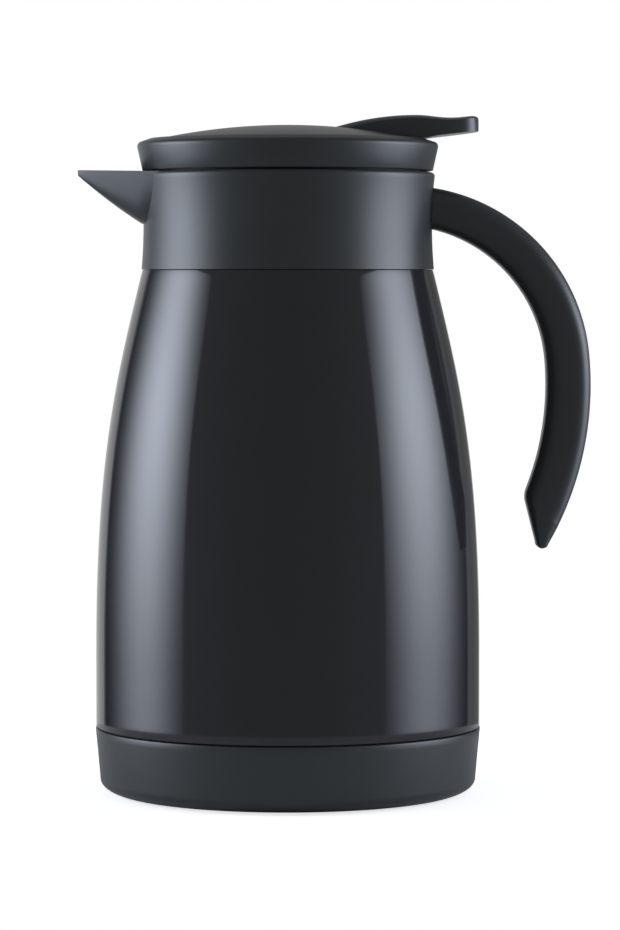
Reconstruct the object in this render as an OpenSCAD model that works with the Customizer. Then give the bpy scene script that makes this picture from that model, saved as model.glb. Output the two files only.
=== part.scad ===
// Vacuum carafe with a lift-out stopper and a thumb lever that opens its valve.
// The origin lies on the body's axis in the plane of the foot; the handle points to +X, the spout to -X.

/* [Body] */
// Greatest radius of the steel body
body_r = 64; // [61:0.5:67]
// Visible height of the steel body, from the base cap to the collar
body_h = 152.2; // [135:1:170]
// Height of the body's straight lower part
straight_h = 24; // [12:1:40]
// How far the shoulder leans in for each mm of height, just under the collar
shoulder_lean = 0.24; // [0.16:0.01:0.3]
// Thickness of the steel sheet
sheet = 0.8; // [0.5:0.1:1]
// Width of the vacuum between the two steel walls
vacuum_w = 3.8; // [3:0.1:5]
// How far the inside of the mouth lies within the collar's rim
mouth_inset = 13.5; // [13:0.1:15]
// Height of the steel neck above the seam under the collar
neck_rise = 18.5; // [17:0.1:20]

/* [Base cap] */
// Height of the base cap
base_h = 22.3; // [18:0.1:28]
// Wall of the base cap
base_wall = 1.6; // [1.2:0.1:2.4]
// How far the side of the base cap draws in towards the foot
base_taper = 1.6; // [0.5:0.1:3]
// Width of the rounded edge between the side and the foot
foot_round_w = 10; // [6:0.5:12]
// Height of that rounded edge
foot_round_h = 5; // [3:0.5:7]
// Width of the flat ring that the carafe stands on
foot_ring_w = 8; // [5:0.5:12]
// Depth of the recess inside the foot ring
foot_recess = 1.2; // [0.6:0.1:2]

/* [Collar] */
// Outer radius of the collar at its rim
collar_r = 48.9; // [48:0.1:50.5]
// Height of the collar
collar_h = 32; // [30:0.5:36]
// How far the collar's side bows in at mid height
collar_waist = 0.8; // [0:0.1:1.2]
// Wall of the collar
collar_wall = 2.4; // [1.8:0.1:2.8]
// Radius of the rounded edge at the collar's rim
rim_round = 1.3; // [0.6:0.1:1.8]
// Thickness of the ring of silicone on the steel mouth
gasket_h = 1.5; // [1:0.1:2]

/* [Spout] */
// How far the spout stands out from the collar's rim
spout_reach = 21; // [16:0.5:26]
// Half of the spout's width where it meets the collar
spout_half_w = 23; // [18:0.5:26]
// Height of the spout where it meets the collar
spout_h = 18.3; // [14:0.1:19]
// Thickness of the lip at the spout's tip
lip_h = 1.7; // [1.2:0.1:2.4]
// How far the tip rises above the collar's rim
tip_rise = 0.8; // [0:0.1:1]
// Wall of the spout
spout_wall = 2; // [1.4:0.1:2.6]

/* [Handle] */
// Radius of the upper bend, on the handle's outside
bend_r = 61.8; // [56:0.1:66]
// Radius of the long lower curve, on the handle's outside
grip_r = 107; // [98:1:120]
// Thickness of the handle at its root
root_t = 14.3; // [12:0.1:16]
// Thickness of the handle at the grip
grip_t = 15.4; // [13:0.1:18]
// Width of the handle across the grip
grip_w = 18; // [17:0.5:24]
// Width of the handle at its lower end
end_w = 15; // [13:0.5:18]
// Radius of the handle's long edges
edge_r = 4.5; // [2:0.25:5]
// Width of the cover strip on the handle's inside
strip_w = 8; // [7:0.5:9]
// Thickness of the cover strip
strip_t = 2.2; // [1.6:0.1:3]

/* [Stopper] */
// Gap between the collar's rim and the lid
lid_gap = 0.6; // [0.4:0.1:1]
// Height of the lid's flared side
lid_side_h = 10.6; // [10:0.1:13]
// How far the lid's side flares out
lid_flare = 1.7; // [0:0.1:2.4]
// Radius of the lid's upper edge
lid_round = 3.4; // [1.5:0.1:3.8]
// Width of the lid's flat border round the dome
border_w = 5.4; // [5:0.1:6.5]
// Rise of the dome above the border
dome_rise = 4.9; // [3.5:0.1:6.5]
// Wall of the lid's pieces
lid_wall = 2; // [1.6:0.1:2.2]
// Depth of the stopper below the rim of the mouth
plug_depth = 16; // [14:0.5:18]
// Wall of the stopper's tube
plug_wall = 2.6; // [2.2:0.1:3]
// Number of windows that let the drink into the collar
windows = 6; // [4:1:8]
// Radius of the valve's seat
seat_r = 16; // [12:0.5:18]
// Radius of the valve's stem
stem_r = 3; // [2:0.1:3.5]
// Diameter of the spring's wire
wire_d = 1.2; // [0.8:0.1:1.6]
// Number of turns in the spring
turns = 6; // [4:1:8]

/* [Lever] */
// How far the lever stands out past the lid
lever_reach = 13.4; // [8:0.1:18]
// How far the lever's pin lies within the collar's rim
pin_inset = 13.9; // [12.5:0.1:16]
// Radius of the lever's pin
pin_r = 1.5; // [1:0.1:1.8]
// Width of the lever's paddle
paddle_w = 23; // [18:0.5:26]
// Thickness of the lever's thumb end
paddle_t = 5.3; // [4:0.1:6.5]
// Depth of the thumb dish in the lever's top
dish = 0.9; // [0:0.1:1.4]
// Angle that the lever turns through when it is pressed
press_angle = 6; // [4:0.5:7]

/* [Fit] */
// Clearance between pieces that move past each other
gap = 0.3; // [0.2:0.05:0.4]
// Width of the seam between fixed outer pieces
seam = 0.3; // [0.2:0.05:0.5]
// Radial clearance of a turning or sliding shaft
running = 0.06; // [0.03:0.01:0.1]

/* [Hidden] */
$fn = 96;

// heights of the steel flask
base_top = base_h;
shell_foot = base_top + seam;
seam_z = base_top + body_h;
belly_z = shell_foot + straight_h;
lip_z = seam_z + neck_rise;
cap_floor = foot_recess + base_wall;
inner_round_h = foot_round_h - 1;
tuck_z = cap_floor + inner_round_h;
bottom_rise = 1.6;
bottom_flange = 6;
liner_foot = tuck_z + sheet + bottom_rise + vacuum_w + 2;
liner_corner = 14;

// radii of the steel flask
body_top_r = collar_r - 0.5;
side_r = body_r + 0.25;
base_foot_r = side_r - base_taper;
tuck_r = base_foot_r - base_wall - gap;
neck_gap = 0.8;
mouth_r = collar_r - mouth_inset;
neck_r = mouth_r + neck_gap + 2 * sheet;
shoulder_r = body_top_r - collar_wall - seam;
shoulder_h = 8.5;
shell_curve = bezier([body_r, belly_z], [body_r, belly_z + 0.53 * (seam_z - belly_z)],
    [body_top_r + shoulder_lean * 0.265 * (seam_z - belly_z), seam_z - 0.265 * (seam_z - belly_z)],
    [body_top_r, seam_z], 48);

// heights and radii of the collar
collar_z = seam_z + seam;
collar_top = collar_z + collar_h;
floor_z = lip_z + gasket_h + 1.9;
skirt_z = seam_z + shoulder_h + 1;
skirt_r = neck_r + gap;
bore_r = collar_r - collar_waist - collar_wall - 1.2;
mouth_ring_r = mouth_r + 0.8;
inner_wall_r = shoulder_r + seam;

// the spout, measured from its tip
spout_tip_x = -(collar_r + spout_reach);
spout_root_x = -sqrt(pow(collar_r - 0.4, 2) - pow(spout_half_w, 2));
spout_len = spout_root_x - spout_tip_x;
tip_soft = 3.5;
keel_bow = 0.17;
fullness = 4.2;
keel_len = spout_reach + 1.2;

// the handle's two outlines, each of two arcs that run on without a kink
root_z = collar_top - 5.4;
root_sunk = 2.4;
outer_c = [collar_r - 10.2, root_z - bend_r + 1];
handle_root_a = acos((collar_r - root_sunk - outer_c.x) / bend_r);
outer_turn = 5.9;
outer_end = -29.6;
inner_bend_r = bend_r - root_t + 1.3;
inner_grip_r = grip_r - 10.2;
inner_c = [outer_c.x + bend_r - inner_bend_r - grip_t + 0.8, outer_c.y - 0.2];
inner_turn = 4.7;
inner_end = -22.5;
tip_drop = 1.7;
strip_end = 0.93;
handle_screw_l = 12;
handle_screw_x = skirt_r + collar_wall + 1;
handle_screw_y = 5;

// heights and radii of the stopper
lid_z = collar_top + lid_gap;
lid_bottom_r = collar_r - 0.6;
lid_top_r = lid_bottom_r + lid_flare;
lid_top = lid_z + lid_side_h;
dome_r = lid_top_r - border_w - 0.2;
border_drop = 0.3;
dome_edge_z = lid_top - border_drop - 0.1;
dome_top = dome_edge_z + dome_rise;
ledge_z = dome_edge_z - lid_wall;
ledge_w = 2;
plate_top = lid_z + lid_wall;
plate_r = lid_bottom_r - lid_wall - 0.4;
shelf_z = ledge_z - 1.6;
plug_r = mouth_r - 1;
plug_z = lip_z - plug_depth;
plug_in_r = plug_r - plug_wall;
seat_t = 2.4;
groove_z = plug_z + 2.2;
groove_h = 5.5;
groove_r = plug_r - 1.4;
window_z = floor_z + 0.4;
window_h = collar_top - 3.6 - window_z;
window_w = 2 * PI * plug_r / windows * 0.4;
hoop_r = bore_r - gap - 0.1;
hoop_w = 2.6;
hoop_h = 3.4;
seal_t = 0.8;
boss_r = stem_r + 4.6;
boss_h = 7;
bush_r = stem_r + 2;
screw_r = 1.4;
screw_head_r = 2.7;
screw_head_h = 2;
handle_screw_head = sqrt(pow(inner_wall_r, 2) - pow(handle_screw_y + screw_head_r, 2)) - handle_screw_x;
screw_circle = (plug_r + hoop_r - hoop_w) / 2;
screw_angles = [50, 130, 230, 310];
post_r = 3.2;

// the valve
seal_h = 1.2;
seal_z = plug_z + seat_t + gap;
disc_z = seal_z + seal_h;
disc_h = 2.2;
disc_r = seat_r + 4.5;
hub_r = stem_r + 2.6;
hub_h = 3;
nose_r = seat_r - 5;
coil_r = boss_r + wire_d / 2 + 0.9;
arm_z = plate_top + 0.5;
arm_t = 2.5;
free_play = 0.7;
stem_cap_z = arm_z + arm_t + free_play;
stem_cap_r = stem_r + 3;
stem_cap_h = 2.2;

// the lever
pin_x = collar_r - pin_inset;
pin_z = arm_z + 3.1;
hub_lever_r = pin_r + 1.6;
lever_in_x = dome_r - 28.9;
lever_out_x = lid_top_r + lever_reach;
lever_mid_x = (lever_in_x + lever_out_x) / 2;
lever_half_l = (lever_out_x - lever_in_x) / 2;
crest_x = dome_r - 2;
crest_z = dome_top + 3.3;
back_r = 91;
dish_span = 11.6;
belly_slope = 0.118;
rib_half_w = 6;
ear_t = 3.2;
ear_gap = 0.4;
slot_gap = 0.5;
crown = 1.3;
press_gap = 0.45;
rest_z = pin_z + (lever_under(lid_top_r) - pin_z) * cos(press_angle)
    - (lid_top_r - pin_x) * sin(press_angle) - press_gap;

// Points of a cubic Bezier curve from a to d
function bezier(a, b, c, d, n) = [for (i = [0 : n]) let (t = i / n, s = 1 - t)
    s * s * s * a + 3 * s * s * t * b + 3 * s * t * t * c + t * t * t * d];

// Points of an arc or a quarter ellipse about c, from angle a to angle b
function arc(c, rx, ry, a, b, n) = [for (i = [0 : n]) let (t = a + (b - a) * i / n)
    c + [rx * cos(t), ry * sin(t)]];

function reversed(list) = [for (i = [len(list) - 1 : -1 : 0]) list[i]];
function unit(v) = v / norm(v);
function left(v) = [-v.y, v.x];

// The path moved to its left by d, with its corners kept square
function shifted(path, d) = [for (i = [0 : len(path) - 1])
    let (before = i > 0 ? left(unit(path[i] - path[i - 1])) : left(unit(path[1] - path[0])),
        after = i < len(path) - 1 ? left(unit(path[i + 1] - path[i])) : before)
    path[i] + d * (before + after) / (1 + before * after)];

// The outline of a sheet of thickness t that lies to the left of a path
function sheet_outline(path, t) = concat(path, reversed(shifted(path, t)));

// A smooth body through rings of points, with flat ends
module loft(rings) {
    n = len(rings[0]);
    last = len(rings) - 1;
    sides = [for (i = [0 : last - 1], j = [0 : n - 1], half = [0, 1])
        let (a = i * n + j, b = i * n + (j + 1) % n, c = a + n, d = b + n)
        half == 0 ? [a, c, b] : [b, c, d]];
    first_end = [for (j = [0 : n - 1]) j];
    last_end = [for (j = [n - 1 : -1 : 0]) last * n + j];
    polyhedron(points = [for (ring = rings, p = ring) p], faces = concat([first_end, last_end], sides));
}

module tube(r_out, r_in, z, h) {
    translate([0, 0, z]) difference() {
        cylinder(r = r_out, h = h);
        translate([0, 0, -1]) cylinder(r = r_in, h = h + 2);
    }
}

// Steel flask

module outer_shell() {
    shoulder_top = [neck_r, seam_z + shoulder_h];
    path = concat([[tuck_r, tuck_z], [tuck_r, shell_foot], [body_r, shell_foot]], shell_curve,
        bezier([shoulder_r, seam_z], [shoulder_r - 0.4, seam_z + 3.4],
            [neck_r, seam_z + 1.6], shoulder_top, 16),
        [[neck_r, lip_z - sheet]]);
    color([0.09, 0.1, 0.11]) rotate_extrude() polygon(sheet_outline(path, sheet));
}

module shell_bottom() {
    rim_r = tuck_r - sheet;
    hole_r = 2;
    path = [[hole_r, tuck_z + bottom_rise], [9, tuck_z + bottom_rise], [11, tuck_z],
        [rim_r, tuck_z], [rim_r, tuck_z + bottom_flange]];
    color("silver") rotate_extrude() polygon(sheet_outline(path, sheet));
}

module inner_liner() {
    side = sheet + vacuum_w;
    main = [for (p = shifted(shell_curve, side)) if (p.y < seam_z - 16) p];
    start = main[len(main) - 1];
    lean = unit(start - main[len(main) - 2]);
    neck_z = plug_z - 1;
    pull = (neck_z - start.y) * 0.45;
    path = concat([[0, liner_foot]],
        arc([body_r - side - liner_corner, liner_foot + liner_corner],
            liner_corner, liner_corner, -90, 0, 10),
        [for (i = [0 : len(main) - 2]) main[i]],
        bezier(start, start + lean * pull, [mouth_r + sheet, neck_z - pull], [mouth_r + sheet, neck_z], 14),
        [[mouth_r + sheet, lip_z]]);
    inner = shifted(path, sheet);
    closed = [for (p = inner) [max(0, p.x), p.y]];
    color("silver") {
        rotate_extrude() polygon(concat(path, reversed(closed)));
        tube(neck_r, mouth_r + sheet, lip_z - sheet, sheet);
    }
}

module getter() {
    getter_r = 8;
    getter_h = 2.4;
    color("gray") translate([27, 0, tuck_z + sheet]) difference() {
        cylinder(r = getter_r, h = getter_h);
        translate([0, 0, getter_h - 0.8]) cylinder(r = getter_r - 1, h = 1);
    }
}

module vacuum_seal() {
    color("gray") translate([0, 0, tuck_z + bottom_rise - 0.8]) {
        cylinder(r = 5, h = 0.8);
        cylinder(r = 1.9, h = 0.8 + sheet);
    }
}

// Base cap

module base_cap() {
    foot_r = base_foot_r - foot_round_w;
    ring_in_r = foot_r - foot_ring_w;
    inner_side = [[side_r - base_wall, base_top], [base_foot_r - base_wall, foot_round_h + 1]];
    inner_floor = arc([foot_r, cap_floor + inner_round_h], foot_round_w - base_wall,
        inner_round_h, 0, -90, 10);
    rib_r = foot_r - 1;
    color([0.16, 0.16, 0.17]) rotate_extrude() polygon(concat(
        [[0, foot_recess], [ring_in_r - foot_recess, foot_recess], [ring_in_r, 0]],
        arc([foot_r, foot_round_h], foot_round_w, foot_round_h, -90, 0, 14),
        [[side_r, base_top - 0.5], [side_r - 0.5, base_top]],
        inner_side, inner_floor,
        [[rib_r, cap_floor], [rib_r, tuck_z - gap], [rib_r - base_wall, tuck_z - gap],
            [rib_r - base_wall, cap_floor], [0, cap_floor]]));
}

// Collar with its spout

// The collar's side from its foot to its rounded rim
function collar_side() = concat(
    bezier([collar_r - 0.25, collar_z], [collar_r - 0.12 - collar_waist * 4 / 3, collar_z + collar_h / 3],
        [collar_r - 0.12 - collar_waist * 4 / 3, collar_top - collar_h / 3],
        [collar_r, collar_top - rim_round], 24),
    arc([collar_r - rim_round, collar_top - rim_round], rim_round, rim_round, 0, 90, 6));

// Half width and keel of the spout, at distance d from its tip
function spout_w(d) = spout_half_w * sqrt(max(0, d) * (max(0, d) + 2 * tip_soft)
    / (spout_len * (spout_len + 2 * tip_soft)));
function spout_keel(d) = let (s = d / keel_len)
    collar_top + tip_rise - lip_h - (spout_h - lip_h) * (s * (1 + keel_bow) - keel_bow * s * s);
function spout_top(d) = collar_top + tip_rise * max(0, 1 - d / (spout_len - 2));

// A cross-section of the spout, steep at the sides and blunt below, carried straight up by extra
function spout_ring(x, w, keel, top, extra) = let (n = 9,
    right = [for (i = [0 : n]) let (v = sin(90 * i / n)) [x, w * v, keel + (top - keel) * pow(v, fullness)]],
    up = extra > 0 ? [[x, w, top + extra], [x, -w, top + extra]] : [])
    concat(right, up, [for (i = [n : -1 : 1]) [x, -right[i].y, right[i].z]]);

module spout_outside() {
    steps = 14;
    loft([for (i = [0 : steps]) let (s = i / steps, d = 0.05 + (spout_len + 1) * s * s)
        spout_ring(spout_tip_x + d, spout_w(d), spout_keel(min(d, keel_len)), spout_top(d), 0)]);
}

module spout_inside() {
    steps = 12;
    start = spout_wall + 0.1;
    reach = spout_len + 6;
    loft([for (i = [0 : steps]) let (s = i / steps, d = start + (reach - start) * s * s)
        spout_ring(spout_tip_x + d, spout_w(d - spout_wall), max(spout_keel(d) + spout_wall, floor_z + 0.4),
            collar_top + tip_rise, 3)]);
}

module collar() {
    flange_z = lip_z + gasket_h;
    color([0.17, 0.17, 0.18]) difference() {
        union() {
            rotate_extrude() polygon(concat(collar_side(),
                [[bore_r, collar_top], [bore_r, floor_z + 1], [bore_r - 1, floor_z], [mouth_ring_r, floor_z],
                    [mouth_ring_r, flange_z], [skirt_r, flange_z], [skirt_r, skirt_z],
                    [skirt_r + collar_wall, skirt_z], [skirt_r + collar_wall, flange_z - 0.6],
                    [inner_wall_r, flange_z - 0.6], [inner_wall_r, collar_z]]));
            difference() {
                spout_outside();
                translate([0, 0, collar_z]) cylinder(r = bore_r + 2, h = 2 * collar_h);
            }
        }
        spout_inside();
        handle_screw_places() cylinder(r = screw_r + 0.1, h = 20);
    }
}

module collar_gasket() {
    color("white") tube(neck_r, mouth_r + 0.5, lip_z, gasket_h);
}

// Handle

// Points on two tangent arcs, from the root angle to the end angle, for t from 0 to 1
function two_arcs(t, c, r1, r2, root, turn, end) = let (a = root + (end - root) * t,
    c2 = c - (r2 - r1) * [cos(turn), sin(turn)])
    a > turn ? c + r1 * [cos(a), sin(a)] : c2 + r2 * [cos(a), sin(a)];

function handle_out(t) = two_arcs(t, outer_c, bend_r, grip_r, handle_root_a, outer_turn, outer_end + 4);
function handle_heel(t) = two_arcs(t, outer_c, bend_r, grip_r, outer_end + 4, outer_turn, outer_end);
function handle_in(t) = two_arcs(t, inner_c, inner_bend_r, inner_grip_r, handle_root_a - 2,
    inner_turn, inner_end);
function handle_w(t) = t < 0.5 ? grip_w - 1 + sin(180 * t) : end_w + (grip_w - end_w)
    * (0.5 + 0.5 * cos(180 * (t - 0.5) / 0.62));

// A rounded section between an inner and an outer point of the handle
function grip_ring(inner, outer, w, round) = let (mid = (inner + outer) / 2, half = (outer - inner) / 2,
    t = norm(half), r = min(round, t * 0.98, w / 2 * 0.98), steps = 4)
    [for (q = [0 : 3], i = [0 : steps]) let (a = 90 * q + 90 * i / steps,
        y = (q == 0 || q == 3 ? 1 : -1) * (w / 2 - r) + r * cos(a),
        u = (q < 2 ? 1 : -1) * (t - r) + r * sin(a),
        p = mid + half / t * u) [p.x, y, p.y]];

module handle_body() {
    steps = 30;
    corner = handle_in(1);
    tip_in = corner + [3.9, -15.6];
    tip_half = (handle_heel(1) - tip_in) / 2;
    tip_w = end_w - 3;
    taper = 5;
    main = [for (i = [0 : steps]) let (t = i / steps)
        grip_ring(handle_in(t), handle_out(t), handle_w(t), edge_r)];
    point = [for (i = [1 : taper]) let (t = i / taper)
        grip_ring(corner + (tip_in - corner) * t, handle_heel(t),
            handle_w(1) + (tip_w - handle_w(1)) * t, edge_r - 1.4 * t)];
    down = unit([tip_half.y, -tip_half.x]) * tip_drop;
    cap = [for (i = [1 : 4]) let (a = 20 * i, mid = tip_in + tip_half + down * sin(a))
        grip_ring(mid - tip_half * cos(a), mid + tip_half * cos(a),
            tip_w - 2 * tip_drop * (1 - cos(a)), edge_r - 1.4)];
    loft(concat(main, point, cap));
}

// The strip's space in the handle's inside, from the root to near the end
module strip_body(w, depth, end) {
    steps = 26;
    loft([for (i = [0 : steps]) let (t = 0.12 + (end - 0.12) * i / steps, inner = handle_in(t),
        out = unit(handle_out(t) - inner))
        let (a = inner - out * (depth > strip_t ? 1 : 0), b = inner + out * strip_t)
        [[a.x, w / 2, a.y], [b.x, w / 2, b.y], [b.x, -w / 2, b.y], [a.x, -w / 2, a.y]]]);
}

module handle_screw_places() {
    for (side = [-1, 1])
        translate([handle_screw_x, side * handle_screw_y, lip_z - 2.8]) rotate([0, 90, 0]) children();
}

module handle() {
    color([0.15, 0.15, 0.16]) difference() {
        handle_body();
        rotate_extrude() polygon(concat(collar_side(), [[0, collar_top], [0, collar_z]]));
        strip_body(strip_w, strip_t + 1, strip_end);
        handle_screw_places() cylinder(r = screw_r, h = handle_screw_head + handle_screw_l + gap);
    }
}

module handle_strip() {
    color([0.19, 0.19, 0.2]) strip_body(strip_w - 0.2, strip_t, strip_end - 0.002);
}

module handle_screws() {
    color("silver") handle_screw_places() {
        translate([0, 0, handle_screw_head - screw_head_h]) cylinder(r = screw_head_r, h = screw_head_h);
        translate([0, 0, handle_screw_head - 0.5]) cylinder(r = screw_r, h = handle_screw_l + 0.5);
    }
}

// Stopper

module stopper_gasket() {
    lip_r = mouth_r - gap;
    inner_r = groove_r + gap;
    z0 = groove_z + gap;
    h = groove_h - 2 * gap;
    fins = 3;
    web_r = inner_r + 0.8;
    fin_h = h / fins;
    outer = [for (i = [0 : fins - 1], p = [[web_r, 0], [lip_r, fin_h * 0.3], [lip_r, fin_h * 0.5],
        [web_r, fin_h * 0.8]]) [p.x, z0 + i * fin_h + p.y]];
    color("white") rotate_extrude()
        polygon(concat([[inner_r, z0]], outer, [[web_r, z0 + h], [inner_r, z0 + h]]));
}

module stopper_body() {
    hoop_z = lid_z - hoop_h;
    seal_r = hoop_r - seal_t;
    color([0.2, 0.2, 0.21]) difference() {
        union() {
            rotate_extrude() polygon([[seat_r, plug_z], [plug_r - 1, plug_z], [plug_r, plug_z + 1],
                [plug_r, groove_z], [groove_r, groove_z], [groove_r, groove_z + groove_h],
                [plug_r, groove_z + groove_h], [plug_r, lid_z], [hoop_r - hoop_w, lid_z],
                [hoop_r - hoop_w, hoop_z], [seal_r, hoop_z], [seal_r, hoop_z + 0.6], [hoop_r, hoop_z + 0.6],
                [hoop_r, hoop_z + 0.9], [seal_r, hoop_z + 0.9], [seal_r, hoop_z + 2.6],
                [hoop_r, hoop_z + 2.6], [hoop_r, lid_z], [plate_r, lid_z], [plate_r, shelf_z],
                [plate_r - lid_wall, shelf_z], [plate_r - lid_wall, plate_top],
                [bush_r, plate_top], [bush_r, lid_z - boss_h], [boss_r, lid_z - boss_h], [boss_r, lid_z],
                [plug_in_r, lid_z], [plug_in_r, plug_z + seat_t], [seat_r, plug_z + seat_t]]);
            for (side = [-1, 1]) translate([pin_x, side * (rib_half_w + ear_gap + ear_t / 2), 0]) {
                translate([0, 0, pin_z]) rotate([90, 0, 0])
                    cylinder(r = hub_lever_r, h = ear_t, center = true);
                translate([-hub_lever_r - 1, -ear_t / 2, plate_top - 0.1])
                    cube([2 * hub_lever_r + 2, ear_t, pin_z - plate_top]);
            }
        }
        for (i = [0 : windows - 1]) rotate([0, 0, 360 / windows * (i + 0.5)])
            translate([plug_in_r - 3, -window_w / 2, window_z]) cube([plug_wall + 6, window_w, window_h]);
        lid_screw_places() translate([0, 0, lid_z - 1]) cylinder(r = screw_r + 0.1, h = lid_wall + 2);
        translate([pin_x, 0, pin_z]) rotate([90, 0, 0]) cylinder(r = pin_r, h = 40, center = true);
    }
}

module lid_screw_places() {
    for (a = screw_angles) rotate([0, 0, a]) translate([screw_circle, 0, 0]) children();
}

module upper_seal() {
    z0 = lid_z - hoop_h + 0.9;
    inner_r = hoop_r - seal_t;
    color("white") rotate_extrude() polygon([[inner_r, z0], [hoop_r - 0.3, z0], [hoop_r + 0.1, z0 + 0.5],
        [hoop_r + 0.1, z0 + 0.9], [hoop_r - 0.4, z0 + 1.7], [inner_r, z0 + 1.7]]);
}

module stem_bush() {
    color("ivory") tube(bush_r, stem_r + running, lid_z - boss_h, boss_h + lid_wall);
}

// Plan outline of the lever at x, as a half width
function lever_half_w(x) = let (u = (x - lever_mid_x) / lever_half_l)
    (paddle_w / 2 - 1.1 + 1.6 * u) * pow(max(0, 1 - pow(abs(u), 4.5)), 1 / 3);

module lever_plan(extra) {
    steps = 24;
    side = [for (i = [0 : steps]) let (x = lever_mid_x - lever_half_l * cos(180 * i / steps))
        [x, lever_half_w(x)]];
    wide = [for (p = shifted(reversed(side), -extra)) [p.x, max(p.y, 0.01)]];
    polygon(concat(wide, [for (p = reversed(wide)) [p.x, -p.y]]));
}

// Room for the lever in the lid, from height z up
module lever_slot(z) {
    translate([0, 0, z]) linear_extrude(height = lid_side_h + dome_rise) lever_plan(slot_gap);
}

module lid_rim() {
    inner_r = lid_bottom_r - lid_wall;
    edge = lid_top_r - lid_round;
    color([0.17, 0.17, 0.18]) difference() {
        rotate_extrude() polygon(concat([[lid_bottom_r, lid_z]],
            [[lid_top_r, lid_top - lid_round - 0.1]],
            arc([edge, lid_top - lid_round], lid_round, lid_round, 5, 90, 8),
            [[edge - 1, lid_top], [dome_r + 0.2, lid_top - border_drop], [dome_r + 0.2, ledge_z],
                [dome_r - ledge_w, ledge_z], [dome_r - ledge_w, shelf_z],
                [inner_r + 1, shelf_z], [inner_r, lid_z + 1], [inner_r, lid_z]]));
        lever_slot(rest_z);
    }
}

module lid_dome() {
    rise = dome_top - dome_edge_z;
    ball_r = (dome_r * dome_r + rise * rise) / (2 * rise);
    swing = asin(dome_r / ball_r);
    under_r = ball_r - lid_wall;
    top = arc([0, dome_top - ball_r], ball_r, ball_r, 90 - swing, 90, 24);
    hole_r = dome_r - ledge_w - 1;
    under = arc([0, dome_top - ball_r], under_r, under_r, 90, 90 - asin(hole_r / under_r), 20);
    color([0.19, 0.19, 0.2]) difference() {
        union() {
            rotate_extrude() polygon(concat([[dome_r, ledge_z]], top, under, [[hole_r, ledge_z]]));
            lid_screw_places() translate([0, 0, plate_top])
                cylinder(r = post_r, h = ledge_z + 1.3 - plate_top);
        }
        lever_slot(plate_top);
        lid_screw_places() translate([0, 0, plate_top - 1])
            cylinder(r = screw_r, h = ledge_z - plate_top + 1);
    }
}

module lid_screws() {
    color("silver") lid_screw_places() {
        translate([0, 0, lid_z - screw_head_h]) cylinder(r = screw_head_r, h = screw_head_h);
        translate([0, 0, lid_z - 0.5]) cylinder(r = screw_r, h = ledge_z - lid_z - 1);
    }
}

module lever_pin() {
    pin_l = 2 * (rib_half_w + ear_gap + ear_t) - 0.4;
    color("silver") translate([pin_x, 0, pin_z]) rotate([90, 0, 0])
        cylinder(r = pin_r, h = pin_l, center = true);
}

// Lever

// Top and underside of the lever at x
function lever_top(x) = x < crest_x ? crest_z - pow(crest_x - x, 2) / (2 * back_r)
    : crest_z - dish * (1 - cos(180 * (x - crest_x) / dish_span)) / 2;
function lever_under(x) = lever_top(lever_out_x) - paddle_t
    - belly_slope * (lever_out_x - max(x, dome_r - 4));

module lever_paddle() {
    steps = 22;
    across = [-1, -0.96, -0.86, -0.66, -0.34, 0, 0.34, 0.66, 0.86, 0.96, 1];
    loft([for (i = [0 : steps]) let (u = 0.995 * -cos(180 * i / steps), x = lever_mid_x + lever_half_l * u,
        w = lever_half_w(x), drop = crown * (1 - 0.35 * u), end_drop = 1.2 * pow(max(0, u), 30),
        top = lever_top(x) - end_drop, under = lever_under(x))
        concat([[x, -w, under], [x, w, under]], [for (v = reversed(across)) [x, w * v,
            top - drop * pow(abs(v), 5)]])]);
}

module lever() {
    under = lever_under(pin_x);
    rib_out_x = pin_x + hub_lever_r + 1;
    fork_x = -stem_r - 2.6;
    slot_half_w = stem_r + 0.6;
    color([0.17, 0.17, 0.18]) difference() {
        union() {
            lever_paddle();
            translate([0, rib_half_w, 0]) rotate([90, 0, 0]) linear_extrude(height = 2 * rib_half_w)
                polygon([[pin_x - hub_lever_r - 3, arm_z], [pin_x, arm_z], [rib_out_x, pin_z],
                    [rib_out_x + 0.4, under + 0.5], [lever_in_x + 8, under + 0.5],
                    [lever_in_x + 4, arm_z + arm_t], [lever_in_x + 4, arm_z]]);
            translate([pin_x, 0, pin_z]) rotate([90, 0, 0])
                cylinder(r = hub_lever_r - 0.1, h = 2 * rib_half_w, center = true);
            translate([fork_x, -rib_half_w - 1, arm_z])
                cube([lever_in_x + 6 - fork_x, 2 * rib_half_w + 2, arm_t]);
        }
        translate([0, 0, arm_z - 1]) cylinder(r = slot_half_w, h = arm_t + 2);
        translate([fork_x - 1, -slot_half_w, arm_z - 1]) cube([1 - fork_x, 2 * slot_half_w, arm_t + 2]);
        translate([pin_x, 0, pin_z]) rotate([90, 0, 0]) cylinder(r = pin_r + running, h = 40, center = true);
    }
}

// Valve

module valve_stem() {
    stem_top = stem_cap_z + stem_cap_h - 0.6;
    color("silver") translate([0, 0, disc_z]) cylinder(r = stem_r, h = stem_top - disc_z);
}

module valve_disc() {
    color([0.2, 0.2, 0.21]) difference() {
        union() {
            translate([0, 0, disc_z]) cylinder(r = disc_r, h = disc_h);
            translate([0, 0, disc_z + disc_h - 0.1]) cylinder(r = hub_r, h = hub_h + 0.1);
            translate([0, 0, plug_z + 0.4]) cylinder(r = nose_r, h = disc_z - plug_z);
        }
        translate([0, 0, disc_z]) cylinder(r = stem_r, h = disc_h + hub_h + 1);
    }
}

module valve_seal() {
    color("white") tube(disc_r - 0.6, nose_r, seal_z, seal_h);
}

module stem_cap() {
    color([0.2, 0.2, 0.21]) translate([0, 0, stem_cap_z]) difference() {
        cylinder(r = stem_cap_r, h = stem_cap_h);
        translate([0, 0, -1]) cylinder(r = stem_r, h = stem_cap_h + 0.4);
    }
}

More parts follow.
